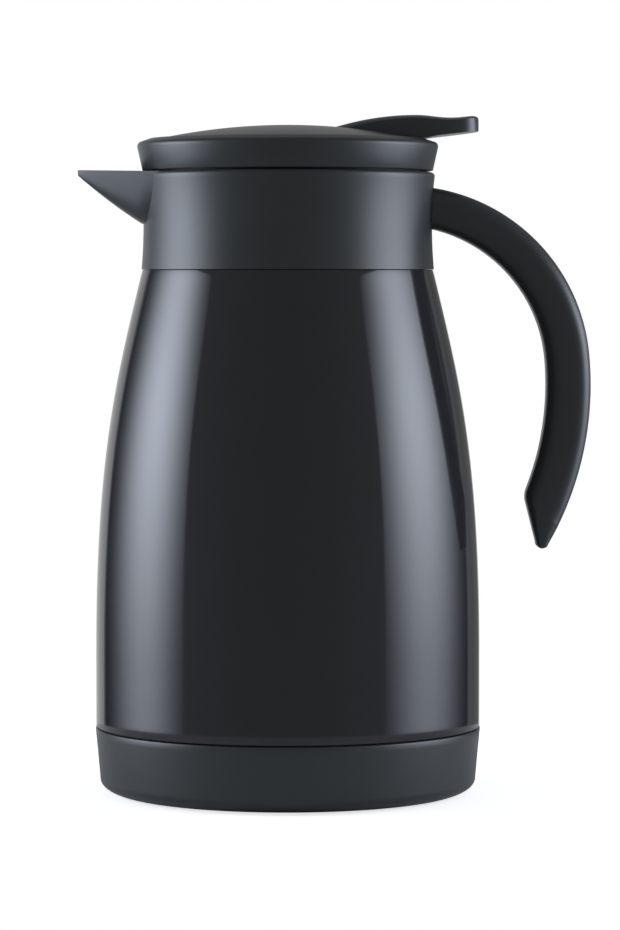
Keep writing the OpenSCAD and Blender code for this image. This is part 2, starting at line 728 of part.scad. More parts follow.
// The spring's centre line: a helix with a straight wire diameter at each end
spring_z0 = disc_z + disc_h + wire_d / 2 + 0.1;
spring_z1 = lid_z - wire_d / 2 - 0.1;
curl = 8;
helix = [for (i = [0 : turns * curl]) let (a = 360 * i / curl)
    [coil_r * cos(a), coil_r * sin(a), spring_z0 + (spring_z1 - spring_z0) * i / (turns * curl)]];
spring_path = concat([helix[0] - [0, wire_d, 0]], helix, [helix[turns * curl] + [0, wire_d, 0]]);

// Least distance between turns: points a half turn or more apart along the wire
turn_gap = min([for (i = [0 : len(helix) - 1], j = [i + curl / 2 : 1 : len(helix) - 1])
    norm(helix[i] - helix[j])]) - wire_d;
echo(spring_turn_gap = turn_gap);

module valve_spring() {
    sides = 6;
    last = len(spring_path) - 1;
    color("silver") loft([for (i = [0 : last]) let (p = spring_path[i],
        along = unit(spring_path[min(i + 1, last)] - spring_path[max(i - 1, 0)]),
        out = unit([p.x, p.y, 0] - along * (along * [p.x, p.y, 0])), up = cross(along, out))
        [for (k = [0 : sides - 1]) p + wire_d / 2 * (out * cos(-60 * k) + up * sin(-60 * k))]]);
}

outer_shell();
shell_bottom();
inner_liner();
getter();
vacuum_seal();
base_cap();
collar();
collar_gasket();
handle();
handle_strip();
handle_screws();
stopper_gasket();
stopper_body();
upper_seal();
stem_bush();
lid_rim();
lid_dome();
lid_screws();
lever_pin();
lever();
valve_stem();
valve_disc();
valve_seal();
stem_cap();
valve_spring();
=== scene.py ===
# Vacuum carafe in a plain studio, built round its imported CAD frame.
# Sizes in the dictionaries are millimetres and degrees; the helpers turn them into metres.
from math import asin, atan2, cos, degrees, hypot, pi, radians, sin, sqrt

import bpy
from mathutils import Matrix, Vector


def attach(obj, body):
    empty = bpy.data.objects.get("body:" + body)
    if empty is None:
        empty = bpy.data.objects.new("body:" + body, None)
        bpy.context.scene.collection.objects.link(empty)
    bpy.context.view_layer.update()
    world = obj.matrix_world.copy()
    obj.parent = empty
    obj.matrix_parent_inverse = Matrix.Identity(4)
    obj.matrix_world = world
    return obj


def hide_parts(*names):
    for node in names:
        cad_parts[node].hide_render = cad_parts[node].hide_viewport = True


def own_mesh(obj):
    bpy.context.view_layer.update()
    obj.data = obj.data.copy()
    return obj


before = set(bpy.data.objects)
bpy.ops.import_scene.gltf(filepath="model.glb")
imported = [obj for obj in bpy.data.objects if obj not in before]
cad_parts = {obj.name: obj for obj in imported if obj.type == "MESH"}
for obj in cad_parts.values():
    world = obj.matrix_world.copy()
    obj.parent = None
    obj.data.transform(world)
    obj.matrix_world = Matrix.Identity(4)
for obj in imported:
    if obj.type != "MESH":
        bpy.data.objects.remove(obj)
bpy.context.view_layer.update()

mm = 0.001
tiny = 0.001


def deselectAll():
    for item in list(bpy.context.selected_objects):
        item.select_set(False)
    bpy.context.view_layer.objects.active = None


def makeActive(piece):
    deselectAll()
    piece.select_set(True)
    bpy.context.view_layer.objects.active = piece


def editMode(piece):
    makeActive(piece)
    bpy.ops.object.mode_set(mode="EDIT")
    bpy.ops.mesh.select_mode(type="VERT")
    bpy.ops.mesh.select_all(action="SELECT")


def objectMode():
    bpy.ops.object.mode_set(mode="OBJECT")


# Edit mode with only those vertices, edges or faces selected that pass the test
def pick(piece, kind, test):
    if bpy.context.mode != "OBJECT":
        objectMode()
    mesh = piece.data
    parts = {"VERT": mesh.vertices, "EDGE": mesh.edges, "FACE": mesh.polygons}
    for part in parts.values():
        part.foreach_set("select", [False] * len(part))
    for item in parts[kind]:
        item.select = bool(test(item))
    makeActive(piece)
    bpy.ops.object.mode_set(mode="EDIT")
    bpy.ops.mesh.select_mode(type=kind)


def settle(piece, name):
    piece.name = piece.data.name = name
    makeActive(piece)
    bpy.ops.object.transform_apply(location=True, rotation=True, scale=True)
    return piece


def turnAbout(piece, degreesRound):
    piece.rotation_euler = (0, 0, radians(degreesRound))
    return settle(piece, piece.name)


def applyModifier(piece, modifier):
    makeActive(piece)
    bpy.ops.object.modifier_apply(modifier=modifier.name)


def faceOutward(piece):
    editMode(piece)
    bpy.ops.mesh.normals_make_consistent(inside=False)
    objectMode()


def tidyMesh(piece):
    editMode(piece)
    bpy.ops.mesh.remove_doubles(threshold=0.004 * mm)
    bpy.ops.mesh.normals_make_consistent(inside=False)
    objectMode()


# Carries the selected section on by one step; the first step only puts it in its place
def advance(step, first):
    if first:
        bpy.ops.transform.translate(value=step)
    else:
        bpy.ops.mesh.extrude_region_move(TRANSFORM_OT_translate={"value": step})


def roundEdges(piece, width, segments=3, angle=30):
    bevel = piece.modifiers.new("roundEdges", "BEVEL")
    bevel.width = width * mm
    bevel.segments = segments
    bevel.limit_method = "ANGLE"
    bevel.angle_limit = radians(angle)
    bevel.use_clamp_overlap = True
    applyModifier(piece, bevel)


def smoothShade(piece, angle):
    makeActive(piece)
    bpy.ops.object.shade_smooth_by_angle(angle=radians(angle))


def combine(piece, tool, operation="DIFFERENCE"):
    boolean = piece.modifiers.new(operation.lower(), "BOOLEAN")
    boolean.operation = operation
    boolean.object = tool
    boolean.solver = "EXACT"
    applyModifier(piece, boolean)
    bpy.data.objects.remove(tool)


def paintPiece(piece, finish):
    piece.data.materials.clear()
    piece.data.materials.append(finishes[finish])


# The last step for each piece: shading, material, body, and hiding the CAD node that it stands for
def finishPiece(piece, angle, finish, body, nodes):
    smoothShade(piece, angle)
    paintPiece(piece, finish)
    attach(piece, body)
    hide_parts(*nodes)


def bezierPoints(a, b, c, d, steps):
    points = []
    for i in range(steps + 1):
        t = i / steps
        s = 1 - t
        points.append(tuple(s ** 3 * p + 3 * s * s * t * q + 3 * s * t * t * r + t ** 3 * w
                            for p, q, r, w in zip(a, b, c, d)))
    return points


def arcPoints(centre, rx, rz, start, end, steps):
    return [(centre[0] + rx * cos(radians(start + (end - start) * i / steps)),
             centre[1] + rz * sin(radians(start + (end - start) * i / steps)))
            for i in range(steps + 1)]


# A round body: a circle is extruded up or down and scaled, once for each point (radius, height)
def turned(name, profile, segments=128, closed=True):
    deselectAll()
    radius, height = max(profile[0][0], tiny), profile[0][1]
    bpy.ops.mesh.primitive_circle_add(vertices=segments, radius=radius * mm, location=(0, 0, height * mm))
    piece = settle(bpy.context.object, name)
    editMode(piece)
    for nextRadius, nextHeight in profile[1:] + ([profile[0]] if closed else []):
        nextRadius = max(nextRadius, tiny)
        advance((0, 0, (nextHeight - height) * mm), False)
        scale = nextRadius / radius
        bpy.ops.transform.resize(value=(scale, scale, 1), center_override=(0, 0, nextHeight * mm))
        radius, height = nextRadius, nextHeight
    objectMode()
    tidyMesh(piece)
    return piece


# The same with a wall: the open sheet gets its thickness from a Solidify modifier
def turnedSheet(name, profile, thickness, segments, even):
    piece = turned(name, profile, segments, closed=False)
    wall = piece.modifiers.new("wall", "SOLIDIFY")
    wall.thickness = thickness * mm
    wall.offset = -1
    wall.use_even_offset = even
    applyModifier(piece, wall)
    return piece


def block(name, low, high):
    deselectAll()
    centre = [(a + b) / 2 * mm for a, b in zip(low, high)]
    bpy.ops.mesh.primitive_cube_add(size=1, location=centre)
    piece = bpy.context.object
    piece.scale = [(b - a) * mm for a, b in zip(low, high)]
    return settle(piece, name)


def rod(name, radius, start, end, segments=48):
    a, b = Vector(start) * mm, Vector(end) * mm
    deselectAll()
    bpy.ops.mesh.primitive_cylinder_add(vertices=segments, radius=radius * mm, depth=(b - a).length,
                                        location=(a + b) / 2)
    piece = bpy.context.object
    piece.rotation_mode = "QUATERNION"
    piece.rotation_quaternion = (b - a).to_track_quat("Z", "Y")
    return settle(piece, name)


def joined(name, pieces):
    deselectAll()
    for piece in pieces:
        piece.select_set(True)
    bpy.context.view_layer.objects.active = pieces[0]
    if len(pieces) > 1:
        bpy.ops.object.join()
    return settle(bpy.context.object, name)


# A ring turned from its profile, rounded and finished; names are its own, its body, its slot (not used) and
# its CAD node
def ring(names, profile, finish, closed=True, edge=0.12):
    name, body, slot, node = names
    piece = turned(name, profile, 128, closed)
    roundEdges(piece, edge, 2, 40)
    finishPiece(piece, 35, finish, body, [node])


print("camera")
camera = {"height": 171, "distance": 1340, "side": 7.4, "pitch": 2.63, "lens": 155.6}
bpy.ops.object.camera_add(location=(camera["side"] * mm, -camera["distance"] * mm, camera["height"] * mm),
                          rotation=(radians(90 - camera["pitch"]), 0, 0))
lookFrom = bpy.context.object
lookFrom.name = "photoCamera"
lookFrom.data.lens = camera["lens"]
lookFrom.data.sensor_width = 36
bpy.context.scene.camera = lookFrom

print("studio")
studio = {
    "floorSize": 420, "floorGrey": 0.8, "floorGlow": 0.7, "roomGrey": 0.24, "mirroredWhite": 0.68,
    "mirroredSide": 0.18, "backdropHalf": 36, "backdropSide": 0.21, "backdropEdge": 12, "upwardFade": 1.1,
    "panelTint": (0.93, 1, 1.155),
    "leftPanel": {"azimuth": -101, "width": 1560, "peakAt": 0.14, "spread": 0.26, "power": 7.9},
    "rightPanel": {"azimuth": 97, "width": 1563, "peakAt": -0.13, "spread": 0.275, "power": 6.75},
    "panelLow": -450, "panelHigh": 700, "panelGlow": ((331, 410, 1), (-250, 80, 0.42)), "distance": 1000,
}


# A function that adds math nodes to one node tree; each input is a number or another node's output
def mathIn(nodes, links):
    def compute(operation, *values, clamp=False):
        node = nodes.new("ShaderNodeMath")
        node.operation = operation
        node.use_clamp = clamp
        for value, entry in zip(values, node.inputs):
            if isinstance(value, (int, float)):
                entry.default_value = value
            else:
                links.new(value, entry)
        return node.outputs[0]
    return compute


def emptyMaterial(name):
    material = bpy.data.materials.new(name)
    material.use_nodes = True
    material.node_tree.nodes.clear()
    output = material.node_tree.nodes.new("ShaderNodeOutputMaterial")
    return material, material.node_tree.nodes, material.node_tree.links, output


# A soft box: brightest near one height and side, fading towards its edges
def softPanel(name, values):
    turn = radians(values["azimuth"])
    low, high = studio["panelLow"] * mm, studio["panelHigh"] * mm
    away = studio["distance"] * mm
    deselectAll()
    bpy.ops.mesh.primitive_plane_add(size=1)
    panel = bpy.context.object
    panel.name = name
    panel.scale = (values["width"] * mm, high - low, 1)
    panel.rotation_euler = (radians(90), 0, turn)
    panel.location = (away * sin(turn), -away * cos(turn), (low + high) / 2)
    material, nodes, links, output = emptyMaterial(name + "Light")
    compute = mathIn(nodes, links)
    where = nodes.new("ShaderNodeTexCoord")
    split = nodes.new("ShaderNodeSeparateXYZ")
    links.new(where.outputs["Object"], split.inputs[0])
    across = compute("SUBTRACT", split.outputs[0], values["peakAt"])
    across = compute("MULTIPLY", across, 1 / values["spread"])
    across = compute("POWER", compute("ABSOLUTE", across), 2)
    total = 0
    for middle, tall, share in studio["panelGlow"]:  # brightest height, spread upward, strength
        upward = compute("MULTIPLY_ADD", split.outputs[1], (high - low) / (tall * mm),
                         ((low + high) / 2 - middle * mm) / (tall * mm))
        upward = compute("POWER", compute("ABSOLUTE", upward), 2)
        fade = compute("MULTIPLY", compute("ADD", across, upward), -1)
        total = compute("MULTIPLY_ADD", compute("EXPONENT", fade), share, total)
    lit = nodes.new("ShaderNodeEmission")
    lit.inputs["Color"].default_value = (*studio["panelTint"], 1)
    links.new(compute("MULTIPLY", total, values["power"]), lit.inputs["Strength"])
    links.new(lit.outputs[0], output.inputs["Surface"])
    panel.data.materials.append(material)
    panel.visible_camera = False
    return panel


softPanel("leftSoftBox", studio["leftPanel"])
softPanel("rightSoftBox", studio["rightPanel"])

deselectAll()
bpy.ops.mesh.primitive_circle_add(vertices=96, radius=studio["floorSize"] / 2 * mm, fill_type="NGON")
floor = bpy.context.object
floor.name = "floor"
floor.location = (0, 0, -0.1 * mm)  # the foot stands just clear of it
material, nodes, links, output = emptyMaterial("paleFloor")
compute = mathIn(nodes, links)
paint = nodes.new("ShaderNodeBsdfDiffuse")
paint.inputs["Color"].default_value = (studio["floorGrey"],) * 3 + (1,)
glow = nodes.new("ShaderNodeEmission")
both = nodes.new("ShaderNodeAddShader")
pathNode = nodes.new("ShaderNodeLightPath")
links.new(compute("MULTIPLY", pathNode.outputs["Is Camera Ray"], studio["floorGlow"]),
          glow.inputs["Strength"])
links.new(paint.outputs[0], both.inputs[0])
links.new(glow.outputs[0], both.inputs[1])
links.new(both.outputs[0], output.inputs["Surface"])
floor.data.materials.append(material)

# White behind the object for the camera and for what it mirrors, a dim room everywhere else
world = bpy.data.worlds.new("studioWorld")
bpy.context.scene.world = world
world.use_nodes = True
nodes, links = world.node_tree.nodes, world.node_tree.links
compute = mathIn(nodes, links)
nodes.clear()
output = nodes.new("ShaderNodeOutputWorld")
sky = nodes.new("ShaderNodeBackground")
pathNode = nodes.new("ShaderNodeLightPath")
where = nodes.new("ShaderNodeTexCoord")
split = nodes.new("ShaderNodeSeparateXYZ")
links.new(where.outputs["Generated"], split.inputs[0])
behind = compute("GREATER_THAN", split.outputs[1], cos(radians(studio["backdropHalf"])))
inside = compute("SUBTRACT", compute("MULTIPLY", split.outputs[1], studio["backdropSide"]), split.outputs[0])
inside = compute("MULTIPLY_ADD", inside, studio["backdropEdge"], 0.5, clamp=True)
band = compute("MULTIPLY_ADD", inside, studio["mirroredWhite"] - studio["mirroredSide"],
               studio["mirroredSide"])
upward = compute("MAXIMUM", split.outputs[2], 0)
lower = compute("MULTIPLY_ADD", upward, -studio["upwardFade"], 1, clamp=True)
band = compute("SUBTRACT", compute("MULTIPLY", band, lower), studio["roomGrey"])
band = compute("MULTIPLY", band, behind)
mirrored = compute("ADD", pathNode.outputs["Is Glossy Ray"],
                   pathNode.outputs["Is Transmission Ray"], clamp=True)
light = compute("MULTIPLY_ADD", band, mirrored, studio["roomGrey"])
seen = compute("MULTIPLY", pathNode.outputs["Is Camera Ray"], 1 - studio["roomGrey"])
links.new(compute("ADD", light, seen), sky.inputs["Strength"])
sky.inputs["Color"].default_value = (1, 1, 1, 1)
links.new(sky.outputs[0], output.inputs["Surface"])
bpy.context.scene.view_settings.view_transform = "Standard"

print("finishes")


def newGroup(name, inputs, outputs):
    group = bpy.data.node_groups.new(name, "ShaderNodeTree")
    for label, value in inputs:
        socket = group.interface.new_socket(name=label, in_out="INPUT", socket_type="NodeSocketFloat")
        socket.default_value = value
    for label in outputs:
        group.interface.new_socket(name=label, in_out="OUTPUT", socket_type="NodeSocketFloat")
    entry, result = group.nodes.new("NodeGroupInput"), group.nodes.new("NodeGroupOutput")
    return group, group.nodes, group.links, mathIn(group.nodes, group.links), entry, result


def noiseNode(nodes, links, vector, scale, detail=3.0, roughness=0.5):
    noise = nodes.new("ShaderNodeTexNoise")
    noise.inputs["Detail"].default_value = detail
    noise.inputs["Roughness"].default_value = roughness
    if isinstance(scale, (int, float)):
        noise.inputs["Scale"].default_value = scale
    else:
        links.new(scale, noise.inputs["Scale"])
    links.new(vector, noise.inputs["Vector"])
    return noise.outputs["Fac"]


# Spark-eroded or painted surface: a fine height and a slow unevenness, both 0 to 1
def grainGroup():
    group, nodes, links, compute, entry, result = newGroup(
        "surfaceGrain", [("Size", 0.3), ("Patch", 20)], ["Height", "Mottle"])
    place = nodes.new("ShaderNodeTexCoord").outputs["Object"]
    fine = compute("DIVIDE", 1000, entry.outputs["Size"])
    cells = nodes.new("ShaderNodeTexVoronoi")
    links.new(place, cells.inputs["Vector"])
    links.new(fine, cells.inputs["Scale"])
    speckle = noiseNode(nodes, links, place, fine, 2)
    height = compute("MULTIPLY_ADD", cells.outputs["Distance"], 0.5, compute("MULTIPLY", speckle, 0.5))
    slow = compute("DIVIDE", 1000, entry.outputs["Patch"])
    links.new(height, result.inputs["Height"])
    links.new(noiseNode(nodes, links, place, slow, 4, 0.6), result.inputs["Mottle"])
    return group


# Edges rubbed smooth by hands and cloths, broken up by a patchy noise
def rubGroup():
    group, nodes, links, compute, entry, result = newGroup(
        "rubbedEdges", [("Radius", 0.0006), ("Amount", 1)], ["Mask"])
    place = nodes.new("ShaderNodeTexCoord").outputs["Object"]
    soft = nodes.new("ShaderNodeBevel")
    soft.samples = 4
    links.new(entry.outputs["Radius"], soft.inputs["Radius"])
    sharp = nodes.new("ShaderNodeNewGeometry")
    compare = nodes.new("ShaderNodeVectorMath")
    compare.operation = "DOT_PRODUCT"
    links.new(soft.outputs[0], compare.inputs[0])
    links.new(sharp.outputs["Normal"], compare.inputs[1])
    edge = compute("SUBTRACT", 1, compare.outputs["Value"])
    edge = compute("MULTIPLY", edge, 8, clamp=True)
    patch = compute("MULTIPLY_ADD", noiseNode(nodes, links, place, 90, 3), 1.6, -0.3, clamp=True)
    mask = compute("MULTIPLY", compute("MULTIPLY", edge, patch), entry.outputs["Amount"])
    links.new(mask, result.inputs["Mask"])
    return group


# Settled dust on what faces up, with a few specks
def dustGroup():
    group, nodes, links, compute, entry, result = newGroup("settledDust", [("Amount", 0.2)], ["Mask"])
    place = nodes.new("ShaderNodeTexCoord").outputs["Object"]
    facing = nodes.new("ShaderNodeNewGeometry")
    split = nodes.new("ShaderNodeSeparateXYZ")
    links.new(facing.outputs["Normal"], split.inputs[0])
    up = compute("POWER", compute("MAXIMUM", split.outputs[2], 0), 3)
    film = compute("MULTIPLY_ADD", noiseNode(nodes, links, place, 60, 4, 0.65), 1.5, -0.35, clamp=True)
    specks = compute("GREATER_THAN", noiseNode(nodes, links, place, 1400, 0), 0.76)
    both = compute("ADD", compute("MULTIPLY", film, 0.5), specks)
    both = compute("MULTIPLY", compute("MULTIPLY_ADD", up, 0.9, 0.1), both)
    links.new(compute("MULTIPLY", both, entry.outputs["Amount"], clamp=True), result.inputs["Mask"])
    return group


# Fine lines round the axis, as a lathe or a polishing wheel leaves them
def latheGroup():
    group, nodes, links, compute, entry, result = newGroup("latheLines", [("Pitch", 0.4)], ["Height"])
    place = nodes.new("ShaderNodeTexCoord").outputs["Object"]
    stretch = nodes.new("ShaderNodeVectorMath")
    stretch.operation = "MULTIPLY"
    stretch.inputs[1].default_value = (0.02, 0.02, 1)
    links.new(place, stretch.inputs[0])
    fine = compute("DIVIDE", 1000, entry.outputs["Pitch"])
    links.new(noiseNode(nodes, links, stretch.outputs[0], fine, 3, 0.6), result.inputs["Height"])
    return group


effects = {"grain": grainGroup(), "rub": rubGroup(), "dust": dustGroup(), "lathe": latheGroup()}


def placeGroup(nodes, effect, **values):
    node = nodes.new("ShaderNodeGroup")
    node.node_tree = effects[effect]
    for label, value in values.items():
        node.inputs[label].default_value = value
    return node


def makeFinish(name, look):
    material, nodes, links, output = emptyMaterial(name)
    compute = mathIn(nodes, links)
    shader = nodes.new("ShaderNodeBsdfPrincipled")
    links.new(shader.outputs[0], output.inputs["Surface"])
    grain = placeGroup(nodes, "grain", Size=look["grain"], Patch=look.get("patch", 18))
    shade = nodes.new("ShaderNodeMix")
    shade.data_type = "RGBA"
    links.new(grain.outputs["Mottle"], shade.inputs["Factor"])
    shade.inputs["A"].default_value = (*look["dark"], 1)
    shade.inputs["B"].default_value = (*look["light"], 1)
    colour = shade.outputs["Result"]
    rough = compute("MULTIPLY_ADD", grain.outputs["Mottle"], look["roughSpread"],
                    look["rough"] - look["roughSpread"] / 2)
    for effect, label in (("rub", "rubColour"), ("dust", "dustColour")):
        if effect not in look:
            continue
        mask = placeGroup(nodes, effect, Amount=look[effect]).outputs["Mask"]
        layer = nodes.new("ShaderNodeMix")
        layer.data_type = "RGBA"
        links.new(mask, layer.inputs["Factor"])
        links.new(colour, layer.inputs["A"])
        layer.inputs["B"].default_value = (*look[label], 1)
        colour = layer.outputs["Result"]
        rough = compute("MULTIPLY_ADD", mask, look.get(effect + "Rough", 0.0), rough)
    links.new(colour, shader.inputs["Base Color"])
    links.new(rough, shader.inputs["Roughness"])
    bump = nodes.new("ShaderNodeBump")
    bump.inputs["Distance"].default_value = look["depth"] * mm
    bump.inputs["Strength"].default_value = look.get("bump", 0.5)
    height = grain.outputs["Height"]
    if "lathe" in look:
        height = placeGroup(nodes, "lathe", Pitch=look["lathe"]).outputs["Height"]
    links.new(height, bump.inputs["Height"])
    links.new(bump.outputs[0], shader.inputs["Normal"])
    for label, value in look.get("sockets", {}).items():
        shader.inputs[label].default_value = value
    return material


charcoal = {"dark": (0.0242, 0.0286, 0.0292), "light": (0.0295, 0.0342, 0.0348), "roughSpread": 0.05,
            "rubColour": (0.05, 0.052, 0.054), "rubRough": -0.05, "dustColour": (0.25, 0.25, 0.25),
            "dustRough": 0.2}
looks = {
    "lacquer": {"dark": (0.0175, 0.0185, 0.02), "light": (0.0215, 0.0225, 0.0245), "rough": 0.075,
                "roughSpread": 0.03, "grain": 2.6, "depth": 0.004, "bump": 0.25, "dust": 0.04,
                "dustColour": (0.3, 0.3, 0.3), "dustRough": 0.3, "patch": 30, "sockets": {"IOR": 1.5}},
    "satinPlastic": {**charcoal, "rough": 0.36, "grain": 0.32, "depth": 0.02, "rub": 0.35, "dust": 0.04},
    "smoothPlastic": {**charcoal, "rough": 0.33, "grain": 0.2, "depth": 0.008, "bump": 0.4, "rub": 0.3,
                      "dust": 0.05},
    "innerPlastic": {"dark": (0.024, 0.025, 0.026), "light": (0.031, 0.032, 0.033), "rough": 0.45,
                     "roughSpread": 0.08, "grain": 0.25, "depth": 0.01, "rub": 0.3,
                     "rubColour": (0.07, 0.07, 0.07)},
    "bushPlastic": {"dark": (0.62, 0.6, 0.54), "light": (0.7, 0.68, 0.62), "rough": 0.5,
                    "roughSpread": 0.1, "grain": 0.3, "depth": 0.01},
    "silicone": {"dark": (0.52, 0.52, 0.5), "light": (0.6, 0.6, 0.58), "rough": 0.55,
                 "roughSpread": 0.12, "grain": 0.5, "depth": 0.01},
    "drawnSteel": {"dark": (0.52, 0.52, 0.51), "light": (0.6, 0.6, 0.59), "rough": 0.26,
                   "roughSpread": 0.1, "grain": 0.4, "depth": 0.006, "bump": 0.4, "lathe": 0.35,
                   "sockets": {"Metallic": 1.0}},
    "turnedSteel": {"dark": (0.5, 0.5, 0.5), "light": (0.6, 0.6, 0.59), "rough": 0.22,
                    "roughSpread": 0.08, "grain": 0.2, "depth": 0.004, "lathe": 0.12,
                    "sockets": {"Metallic": 1.0}},
}
finishes = {name: makeFinish(name, look) for name, look in looks.items()}


print("steel flask")
flask = {"seam": 174.5, "foot": 22.6, "bellyZ": 46.6, "bodyRadius": 64, "topRadius": 48.4,
         "lean": 0.24, "shoulder": 45.7, "neck": 37.8, "lip": 193, "tuckZ": 6.8, "tuckRadius": 60.75,
         "sheet": 0.8, "vacuum": 3.8, "mouth": 35.4, "bellyPull": 0.53, "seamPull": 0.265, "edge": 0.3,
         "bottom": 14.3, "corner": 14, "neckZ": 176, "lipRound": 0.6}


def bodyCurve(steps):
    radius, low, seam, pull = flask["bodyRadius"], flask["bellyZ"], flask["seam"], flask["seamPull"]
    rise = seam - low
    return bezierPoints((radius, low), (radius, low + flask["bellyPull"] * rise),
                        (flask["topRadius"] + flask["lean"] * pull * rise, seam - pull * rise),
                        (flask["topRadius"], seam), steps)


def buildShell():
    foot, seam, edge = flask["foot"], flask["seam"], flask["edge"]
    radius, shoulder, neck = flask["bodyRadius"], flask["shoulder"], flask["neck"]
    outside = [(flask["tuckRadius"], flask["tuckZ"]), (flask["tuckRadius"], foot)]
    outside += arcPoints((radius - edge, foot + edge), edge, edge, -90, 0, 5)
    outside += [(radius, foot + 4), (radius, flask["bellyZ"] - 12)]
    outside += bodyCurve(64)[:-1]
    outside += arcPoints((flask["topRadius"] - edge, seam - edge + 0.06), edge, edge, 12, 90, 5)
    outside += bezierPoints((shoulder, seam), (shoulder - 0.4, seam + 3.4), (neck, seam + 1.6),
                            (neck, seam + 8.5), 16)
    outside += [(neck, flask["lip"] - flask["sheet"])]
    shell = turnedSheet("bodyShell", outside, flask["sheet"], 192, True)
    finishPiece(shell, 40, "lacquer", "root", ["outer_shell"])


buildShell()


def buildLiner():
    side = flask["sheet"] + flask["vacuum"]
    bottom, corner, neckZ = flask["bottom"], flask["corner"], flask["neckZ"]
    curve = bodyCurve(80)
    inward = []
    for before, here, after in zip(curve, curve[1:], curve[2:]):
        dx, dz = after[0] - before[0], after[1] - before[1]
        length = hypot(dx, dz)
        inward.append((here[0] - dz / length * side, here[1] + dx / length * side))
    inward = [p for p in inward if p[1] < flask["seam"] - 16]
    start, before = inward[-1], inward[-2]
    lean = Vector((start[0] - before[0], start[1] - before[1])).normalized()
    pull = (neckZ - start[1]) * 0.45
    outer = flask["mouth"] + flask["sheet"]
    profile = [(0, bottom), (20, bottom)]
    profile += arcPoints((flask["bodyRadius"] - side - corner, bottom + corner), corner, corner, -90, 0, 14)
    profile += inward[::2]
    profile += bezierPoints(start, (start[0] + lean[0] * pull, start[1] + lean[1] * pull),
                            (outer, neckZ - pull), (outer, neckZ), 18)[1:]
    profile += [(outer, 184), (outer, flask["lip"] - 1.2)]
    soft = flask["lipRound"]
    lip = (flask["neck"] - soft, flask["lip"] - soft)
    profile += arcPoints(lip, outer - lip[0], soft, 0, 90, 5) + arcPoints(lip, soft, soft, 90, 10, 4)
    liner = turnedSheet("innerFlask", profile, flask["sheet"], 160, False)
    finishPiece(liner, 40, "drawnSteel", "root", ["inner_liner"])


buildLiner()

print("base cap")
base = {"side": 64.25, "foot": 62.65, "top": 22.3, "roundWidth": 10, "roundHeight": 5, "ring": 8,
        "recess": 1.2, "wall": 1.6}


def buildBase():
    flat = base["foot"] - base["roundWidth"]
    ringIn = flat - base["ring"]
    profile = [(0, base["recess"]), (20, base["recess"]), (ringIn - base["recess"], base["recess"]),
               (ringIn - 0.3, 0.1), (ringIn + 0.3, 0)]
    profile += arcPoints((flat, base["roundHeight"]), base["roundWidth"], base["roundHeight"], -90, 0, 20)
    lift = base["top"] - base["roundHeight"]
    profile += [(base["foot"] + (base["side"] - base["foot"]) * s, base["roundHeight"] + lift * s)
                for s in (0.1, 0.3, 0.5, 0.7, 0.86)]
    profile += [(base["side"] - 0.04, base["top"] - 0.6), (base["side"] - 0.14, base["top"] - 0.26),
                (base["side"] - 0.5, base["top"] - 0.05), (base["side"] - 0.7, base["top"]),
                (base["side"] - base["wall"], base["top"]), (base["foot"] - base["wall"], 6)]
    profile += arcPoints((flat, 6.8), 8.4, 4, 0, -90, 8)
    profile += [(0, 2.8)]
    cap = turned("baseCap", profile, 192, closed=False)
    finishPiece(cap, 30, "satinPlastic", "root", ["base_cap"])


buildBase()

print("collar and spout")
collar = {"foot": 174.65, "top": 206.8, "rim": 48.9, "round": 1.3, "waist": 1.0667, "bore": 44.5,
          "floor": 196.4, "mouthRing": 36.2, "flange": 194.5, "skirtIn": 38.1, "skirtOut": 40.5,
          "skirtZ": 184, "innerWall": 46, "screwWay": 1.5, "screwY": 5, "screwZ": 190.2}
spout = {"tip": -69.9, "root": -42.7, "halfWidth": 23, "height": 18.3, "lip": 1.7, "rise": 0.8, "wall": 2,
         "soft": 3.5, "bow": 0.17, "keelLength": 22.2, "fullness": 4.2}


def collarSide():
    foot, top, rim, soft = collar["foot"], collar["top"], collar["rim"], collar["round"]
    height = top - foot
    waist = rim - 0.12 - collar["waist"]
    side = bezierPoints((rim - 0.25, foot), (waist, foot + height / 3), (waist, top - height / 3),
                        (rim, top - soft), 22)
    return side + arcPoints((rim - soft, top - soft), soft, soft, 0, 90, 6)[1:]


def spoutWidth(d):
    length, soft = spout["root"] - spout["tip"], spout["soft"]
    return spout["halfWidth"] * sqrt(max(0, d) * (max(0, d) + 2 * soft) / (length * (length + 2 * soft)))


def spoutKeel(d):
    s = d / spout["keelLength"]
    return collar["top"] + spout["rise"] - spout["lip"] - (spout["height"] - spout["lip"]) * (
        s * (1 + spout["bow"]) - spout["bow"] * s * s)


def spoutTop(d):
    return collar["top"] + spout["rise"] * max(0, 1 - d / (spout["root"] - spout["tip"] - 2))


